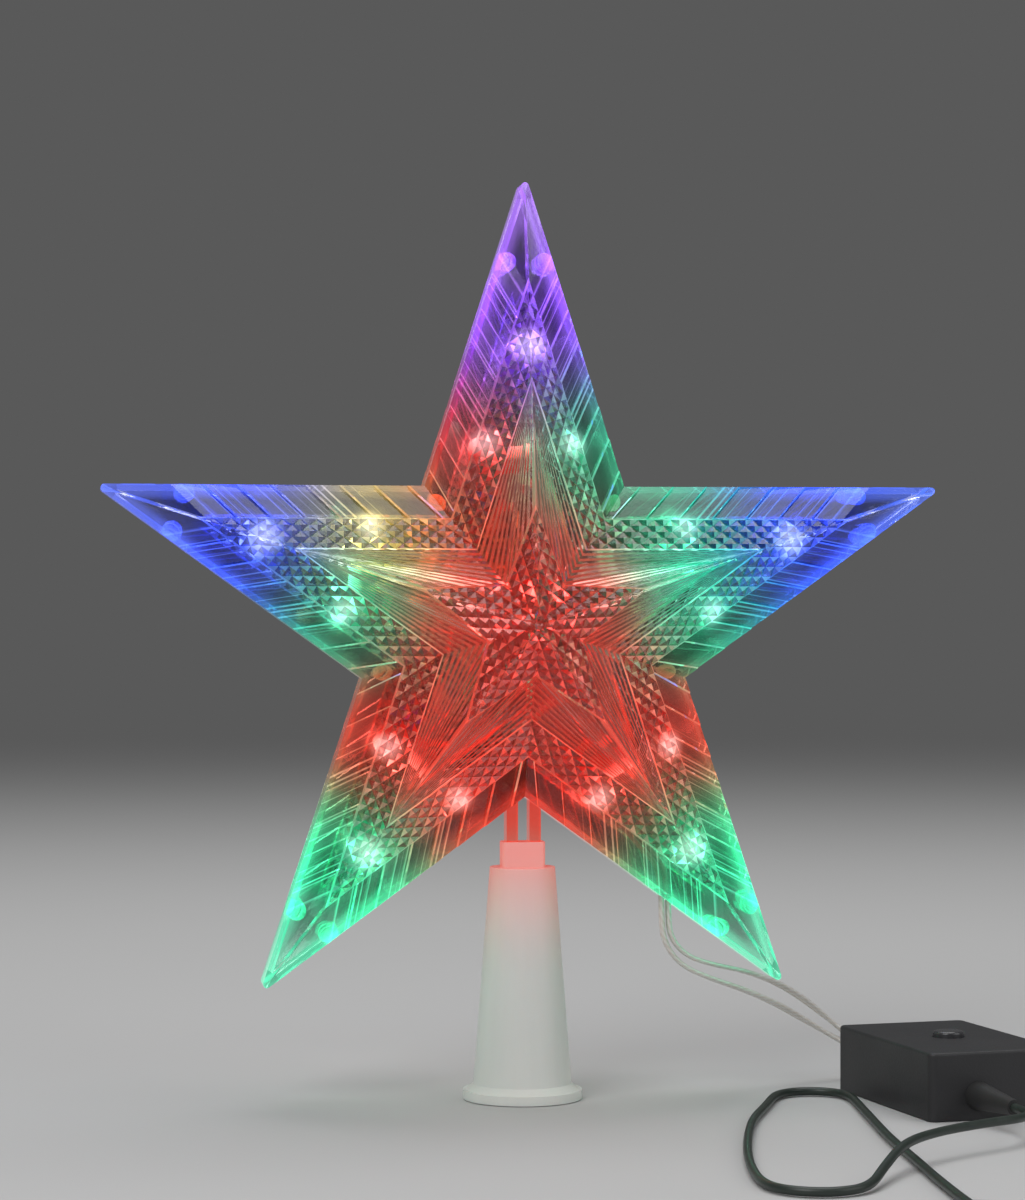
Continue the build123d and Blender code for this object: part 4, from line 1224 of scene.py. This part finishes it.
def half_arm_mesh(name, sizes, facing, posts):
    """Half an arm as a closed wedge of shell, with its pegs and posts. Facing is -1 to the front."""
    arm = Relief(sizes)
    points, faces, looks = arm.sheet()
    shape = bmesh.new()
    # Face layers: painted brightness, its chance, how feathered the painted streaks are, and the relief
    # mask.
    layers = [shape.faces.layers.float.new(label) for label in ("tone", "chance", "feather", "relief")]
    slant = shape.verts.layers.float.new("slant")

    def vertex(s, t, level):
        x, z = arm.along * s + arm.out * t
        return shape.verts.new((x, facing * level, z))

    top = [vertex(*point) for point in points]
    for corner, (s, t, _) in zip(top, points):
        corner[slant] = s - t
    for corners, look in zip(faces, looks):
        face = shape.faces.new([top[i] for i in corners])
        for layer, value in zip(layers, (*look, 1.0)):
            face[layer] = value
    gap = sizes.parting_gap
    boundary = outer_edge(shape, arm, points)
    low = [vertex(points[i][0], points[i][1], gap) for i in boundary]
    for i, j, first, second in zip(boundary, boundary[1:], low, low[1:]):
        shape.faces.new((top[i], top[j], second, first))
    inside = arm.row(arm.edge - sizes.wall)
    corner_level = arm.plain_level(arm.edge - sizes.wall) - arm.wall_depth
    inner_low = [vertex(*place, gap) for place in inside]
    inner_high = [vertex(*place, corner_level) for place in inside]
    apex = vertex(0.0, 0.0, arm.plain_level(0.0) - arm.wall_depth)
    shape.faces.new((*low, *reversed(inner_low)))
    shape.faces.new((*inner_low, *reversed(inner_high)))
    shape.faces.new((*inner_high, apex))
    for along, across, radius, start in posts:
        stand_post(shape, arm, facing, Vector((across, along)), radius, start, layers[0], sizes.post_tone)
    mesh = bpy.data.meshes.new(name)
    shape.to_mesh(mesh)
    shape.free()
    return mesh


def outer_edge(shape, arm, points):
    """The sheet's vertices along its outer edge, from the notch to the tip."""
    shape.verts.index_update()
    arc_start = arm.tip_lean * arm.edge - 3 * arm.sizes.tip_round
    outside = {i for i, (s, t, _) in enumerate(points) if t > arm.edge - ON_LINE or s > arc_start}
    found = set()
    for edge in shape.edges:
        ends = {vertex.index for vertex in edge.verts}
        if len(edge.link_faces) == 1 and ends <= outside:
            found |= ends
    return sorted(found, key=lambda i: points[i][0])


def stand_post(shape, arm, facing, place, radius, start, tone, bright, sides=20):
    """A round post from a depth out to the shell's inside, with a painted glow as bright as a facet, set
    in the tone layer.
    """
    rings = ([], [])
    for k in range(sides):
        angle = FULL_TURN * k / sides
        spot = place + Vector((math.cos(angle), math.sin(angle))) * radius
        high = arm.inside_level(spot) - arm.sizes.parting_gap
        for ring, level in zip(rings, (start, high)):
            ring.append(shape.verts.new((spot.x, facing * level, spot.y)))
    for k in range(sides):
        after = (k + 1) % sides
        face = shape.faces.new((rings[0][k], rings[0][after], rings[1][after], rings[1][k]))
        face.smooth = True
        face[tone] = bright
    for ring in rings:
        shape.faces.new(ring)[tone] = bright


def star_tree():
    """Geometry nodes that mirror half an arm, repeat it round the star and close the seams."""
    tree = bpy.data.node_groups.new("Star from half an arm", "GeometryNodeTree")
    for name, kind in (
        ("Half arm", "Geometry"), ("Arms", "Int"), ("Height", "Float"), ("Seam", "Float"), ("Seed", "Int"),
        ("Finish", "Material"),
    ):
        tree.interface.new_socket(name=name, in_out="INPUT", socket_type=f"NodeSocket{kind}")
    tree.interface.new_socket(name="Star", in_out="OUTPUT", socket_type="NodeSocketGeometry")
    sheet = Shade(tree)
    given = tree.nodes.new("NodeGroupInput")
    inputs = {socket.name: Shade(tree, socket) for socket in given.outputs if socket.name}

    sockets = {"Geometry": inputs["Half arm"], "Scale": (-1.0, 1.0, 1.0)}
    mirrored = sheet.node("GeometryNodeTransform", {}, sockets)
    mirrored = sheet.node("GeometryNodeFlipFaces", {}, {"Mesh": mirrored})
    joined = tree.nodes.new("GeometryNodeJoinGeometry")
    for part in (inputs["Half arm"], mirrored):
        tree.links.new(part.socket, joined.inputs["Geometry"])
    arm = Shade(tree, joined.outputs["Geometry"])

    centre = sheet.node("ShaderNodeCombineXYZ", {}, {"Z": inputs["Height"]})
    points = sheet.node("GeometryNodePoints", {}, {"Count": inputs["Arms"], "Position": centre})
    turn = sheet.node("GeometryNodeInputIndex") * FULL_TURN / inputs["Arms"]
    rotation = sheet.node("ShaderNodeCombineXYZ", {}, {"Y": turn})
    sockets = {"Points": points, "Instance": arm, "Rotation": rotation}
    arms = sheet.node("GeometryNodeInstanceOnPoints", {}, sockets)
    star = sheet.node("GeometryNodeRealizeInstances", {}, {"Geometry": arms})
    star = sheet.node("GeometryNodeMergeByDistance", {}, {"Geometry": star, "Distance": inputs["Seam"]})

    # The random value's number sockets: lowest 2, highest 3 and result 1.
    sockets = {2: 0.0, 3: 1.0, "Seed": inputs["Seed"]}
    random = sheet.node("FunctionNodeRandomValue", {"data_type": "FLOAT"}, sockets, output=1)
    # Each face's painted brightness, its tone plus a seeded chance, stored as glint for the shell's
    # painted highlights and shade.
    tone, chance = (
        sheet.node("GeometryNodeInputNamedAttribute", {"data_type": "FLOAT"}, {"Name": name})
        for name in ("tone", "chance")
    )
    sockets = {"Geometry": star, "Name": "glint", "Value": tone + random * chance}
    settings = {"data_type": "FLOAT", "domain": "FACE"}
    star = sheet.node("GeometryNodeStoreNamedAttribute", settings, sockets)
    star = sheet.node("GeometryNodeSetMaterial", {}, {"Geometry": star, "Material": inputs["Finish"]})
    taken = tree.nodes.new("NodeGroupOutput")
    tree.links.new(star.socket, taken.inputs["Star"])
    return tree


def neck_prong(shape, sizes, facing, side):
    """Half of one flat prong under the bottom notch, cut to the rim's slope."""
    drop = sizes.notch_radius + sizes.tip_radius * math.cos(math.pi - HALF_STEP)
    slope = drop / (sizes.tip_radius * math.sin(HALF_STEP))
    corners = []
    for level in (sizes.parting_gap, sizes.prong_depth):
        for x in (sizes.prong_inside, sizes.prong_outside):
            high = sizes.star_height - sizes.notch_radius + slope * x - sizes.parting_gap
            for z in (sizes.prong_end, high):
                corners.append(shape.verts.new((side * x, facing * level, z)))
    for indices in ((0, 1, 3, 2), (4, 6, 7, 5), (0, 4, 5, 1), (2, 3, 7, 6), (1, 5, 7, 3), (0, 2, 6, 4)):
        shape.faces.new([corners[i] for i in indices])


def shell_extras(sizes, facing, hub):
    """What stands at the notches: the pegs, the hub's posts and the neck's prongs."""
    shape = bmesh.new()
    arm = HalfArm(sizes)
    for number in range(ARM_COUNT):
        piece = bmesh.new()
        # The painted glow of the notch pegs and hub posts goes in the layer the star's faces call glint.
        tone = piece.faces.layers.float.new("glint")
        stands = []
        if number != BOTTOM_NOTCH:
            stands.append((sizes.peg_notch, sizes.peg_radius, sizes.parting_gap))
        if hub:
            stands.append((sizes.hub_post_distance, sizes.hub_post_radius, sizes.hub_back))
        for reach, radius, start in stands:
            stand_post(piece, arm, facing, NOTCH_WAY * reach, radius, start, tone, sizes.notch_tone)
        turn = Matrix.Rotation(number * ARM_STEP, 4, "Y")
        piece.transform(Matrix.Translation((0, 0, sizes.star_height)) @ turn)
        carried = bpy.data.meshes.new("notch")
        piece.to_mesh(carried)
        piece.free()
        shape.from_mesh(carried)
        bpy.data.meshes.remove(carried)
    for side in (-1, 1):
        neck_prong(shape, sizes, facing, side)
    return shape


def cut_slot(context, piece):
    """Cuts the notch in the rim that the lead wires leave through."""
    cords = context.scene.star_cords
    shape = bmesh.new()
    size = Matrix.Diagonal((2 * cords.slot_half, 2 * cords.slot_half, cords.slot_height, 1.0))
    bmesh.ops.create_cube(shape, size=1.0, matrix=Matrix.Translation(lead_exit(context)) @ size)
    mesh = bpy.data.meshes.new("lead_slot")
    shape.to_mesh(mesh)
    shape.free()
    cutter = new_piece("lead_slot", mesh)
    modifier = piece.modifiers.new("Slot", "BOOLEAN")
    modifier.operation = "DIFFERENCE"
    modifier.solver = "EXACT"
    modifier.object = cutter
    piece.data = evaluated_mesh(piece)
    piece.modifiers.clear()
    bpy.data.objects.remove(cutter)


class STAR_OT_shells(bpy.types.Operator):
    """Builds the two clear shells with their bevel, knurled bands, flutes and pegs"""

    bl_idname = "star_topper.shells"
    bl_label = "Shells"

    def execute(self, context):
        sizes, lamps = context.scene.star_sizes, context.scene.star_lamps
        tree = star_tree()
        material = clear_shell_finish(context)
        pegs = [(sizes.peg_along, sizes.peg_across, sizes.peg_radius, sizes.parting_gap)]
        posts = []
        for flange, across in (
            (lamps.tip_along, sizes.post_beside),
            (lamps.side_along, lamps.side_across - sizes.post_beside),
            (lamps.side_along, lamps.side_across + sizes.post_beside),
        ):
            posts.append((flange - sizes.post_behind, across, sizes.post_radius, -sizes.post_reach))
        for name, facing, standing, hub in (("front", -1, pegs, False), ("back", 1, pegs + posts, True)):
            piece = new_piece(f"{name}_shell_relief", half_arm_mesh(name, sizes, facing, standing))
            modifier = piece.modifiers.new("Star", "NODES")
            modifier.node_group = tree
            values = {
                "Arms": ARM_COUNT, "Height": sizes.star_height, "Seam": SEAM,
                "Seed": FACET_SEED + facing, "Finish": material,
            }
            for item in tree.interface.items_tree:
                if item.in_out == "INPUT" and item.name in values:
                    modifier[item.identifier] = values[item.name]
            mesh = evaluated_mesh(piece)
            piece.modifiers.clear()
            shape = shell_extras(sizes, facing, hub)
            shape.from_mesh(mesh)
            bmesh.ops.recalc_face_normals(shape, faces=shape.faces)
            shape.to_mesh(mesh)
            shape.free()
            piece.data = mesh
            cut_slot(context, piece)
            piece.data.materials.clear()
            piece.data.materials.append(material)
            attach(piece, "star")
            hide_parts(f"{name}_shell")
        return {"FINISHED"}


class STAR_OT_lamps(bpy.types.Operator):
    """Finishes the lamps, their sleeves, the splice hub and the wires inside the star"""

    bl_idname = "star_topper.lamps"
    bl_label = "Lamps and harness"

    def execute(self, context):
        lit = {name: lamp_finish(context, name) for name in ("violet", "red", "green", "blue", "yellow")}
        white, wire = white_plastic_finish(context), inner_wire_finish(context)
        for arm in ARM_NAMES:
            for spot, shade in LAMP_COLOURS[arm].items():
                dress(f"led_{arm}_{spot}", lit[shade])
            dress(f"led_sleeves_{arm}", white)
            dress(f"harness_{arm}", wire)
        for number in range(1, len(CENTRE_LAMPS) + 1):
            dress(f"led_centre_{number}", lit[CENTRE_COLOUR])
        dress("splice_hub", white)
        dress("lead_tail", wire)
        return {"FINISHED"}


class STAR_OT_cone(bpy.types.Operator):
    """Finishes the cone that slips over the tree's tip"""

    bl_idname = "star_topper.cone"
    bl_label = "Cone"

    def execute(self, context):
        dress("tree_cone", cone_finish(context))
        return {"FINISHED"}


class STAR_OT_controller(bpy.types.Operator):
    """Finishes the controller box, its button, its strain reliefs and what is inside it"""

    bl_idname = "star_topper.controller"
    bl_label = "Controller"

    def execute(self, context):
        tones = finishes(context)
        black, rubber, chip = black_plastic_finish(context), rubber_finish(context), chip_finish(context)
        for node in ("controller_base", "controller_lid", "cord_tie"):
            dress(node, black)
        for node in ("lead_gland", "mains_gland", "plug_body"):
            dress(node, rubber)
        for node in ("board_parts", "mode_switch"):
            dress(node, chip)
        dress("mode_button", button_finish(context))
        dress("controller_board", board_finish(context))
        dress("controller_screws", metal_finish("bare_steel", tones.steel))
        dress("plug_pins", metal_finish("pin_metal", tones.nickel))
        return {"FINISHED"}


class STAR_OT_stage(bpy.types.Operator):
    """Lays the pale floor and sets the soft studio light"""

    bl_idname = "star_topper.stage"
    bl_label = "Stage"

    def execute(self, context):
        stage = context.scene.star_stage
        mesh = bpy.data.meshes.new("stage_floor")
        shape = bmesh.new()
        drop = Matrix.Translation((0.0, 0.0, -stage.floor_drop))
        bmesh.ops.create_circle(shape, cap_ends=True, segments=64, radius=stage.floor_radius, matrix=drop)
        shape.to_mesh(mesh)
        shape.free()
        mesh.materials.append(floor_finish(context))
        new_piece("stage_floor", mesh)
        target = Vector((0.0, 0.0, stage.aim_height))
        for name, place, size, strength in (
            ("key_light", (-0.9, -1.1, 1.2), 1.0, stage.key_power),
            ("fill_light", (1.2, -0.8, 0.8), 1.2, stage.fill_power),
            ("top_light", (0.1, 0.3, 1.5), 1.2, stage.top_power),
        ):
            lamp = bpy.data.lights.new(name, "AREA")
            lamp.size = size
            lamp.energy = strength
            light = bpy.data.objects.new(name, lamp)
            light.location = place
            light.rotation_euler = (target - Vector(place)).to_track_quat("-Z", "Y").to_euler()
            context.scene.collection.objects.link(light)
        world = bpy.data.worlds.new("studio")
        world.use_nodes = True
        sheet = Shade(world.node_tree)
        background = world.node_tree.nodes["Background"]
        rays = ("Camera", "Glossy", "Transmission")
        shown = [sheet.node("ShaderNodeLightPath", output=f"Is {ray} Ray") for ray in rays]
        seen = reduce(add, shown).clamped()
        sheet.feed(background.inputs["Color"], opaque(WHITE))
        sheet.feed(background.inputs["Strength"], seen.between(stage.sky, stage.backdrop))
        context.scene.world = world
        context.scene.view_settings.view_transform = "Standard"
        return {"FINISHED"}


OPERATORS = (
    STAR_OT_camera, STAR_OT_mains_cord, STAR_OT_lead_wires, STAR_OT_shells,
    STAR_OT_lamps, STAR_OT_cone, STAR_OT_controller, STAR_OT_stage,
)


class STAR_PT_panel(bpy.types.Panel):
    """Lists the star's pieces"""

    bl_label = "Tree topper star"
    bl_idname = "STAR_PT_panel"
    bl_space_type = "VIEW_3D"
    bl_region_type = "UI"
    bl_category = "Star"

    def draw(self, context):
        for operator in OPERATORS:
            self.layout.operator(operator.bl_idname)


SETTINGS = {
    "star_sizes": StarSizes, "star_lamps": LampSettings, "star_cords": CordSizes,
    "star_finishes": FinishColours, "star_stage": StageSettings,
}


def register():
    for kind in (*SETTINGS.values(), *OPERATORS, STAR_PT_panel):
        bpy.utils.register_class(kind)
    for name, kind in SETTINGS.items():
        setattr(bpy.types.Scene, name, PointerProperty(type=kind))


def unregister():
    for name in SETTINGS:
        delattr(bpy.types.Scene, name)
    for kind in (STAR_PT_panel, *reversed(OPERATORS), *reversed(SETTINGS.values())):
        bpy.utils.unregister_class(kind)


def main():
    register()
    for operator in OPERATORS:
        group, name = operator.bl_idname.split(".")
        getattr(getattr(bpy.ops, group), name)()


if __name__ == "__main__":
    main()
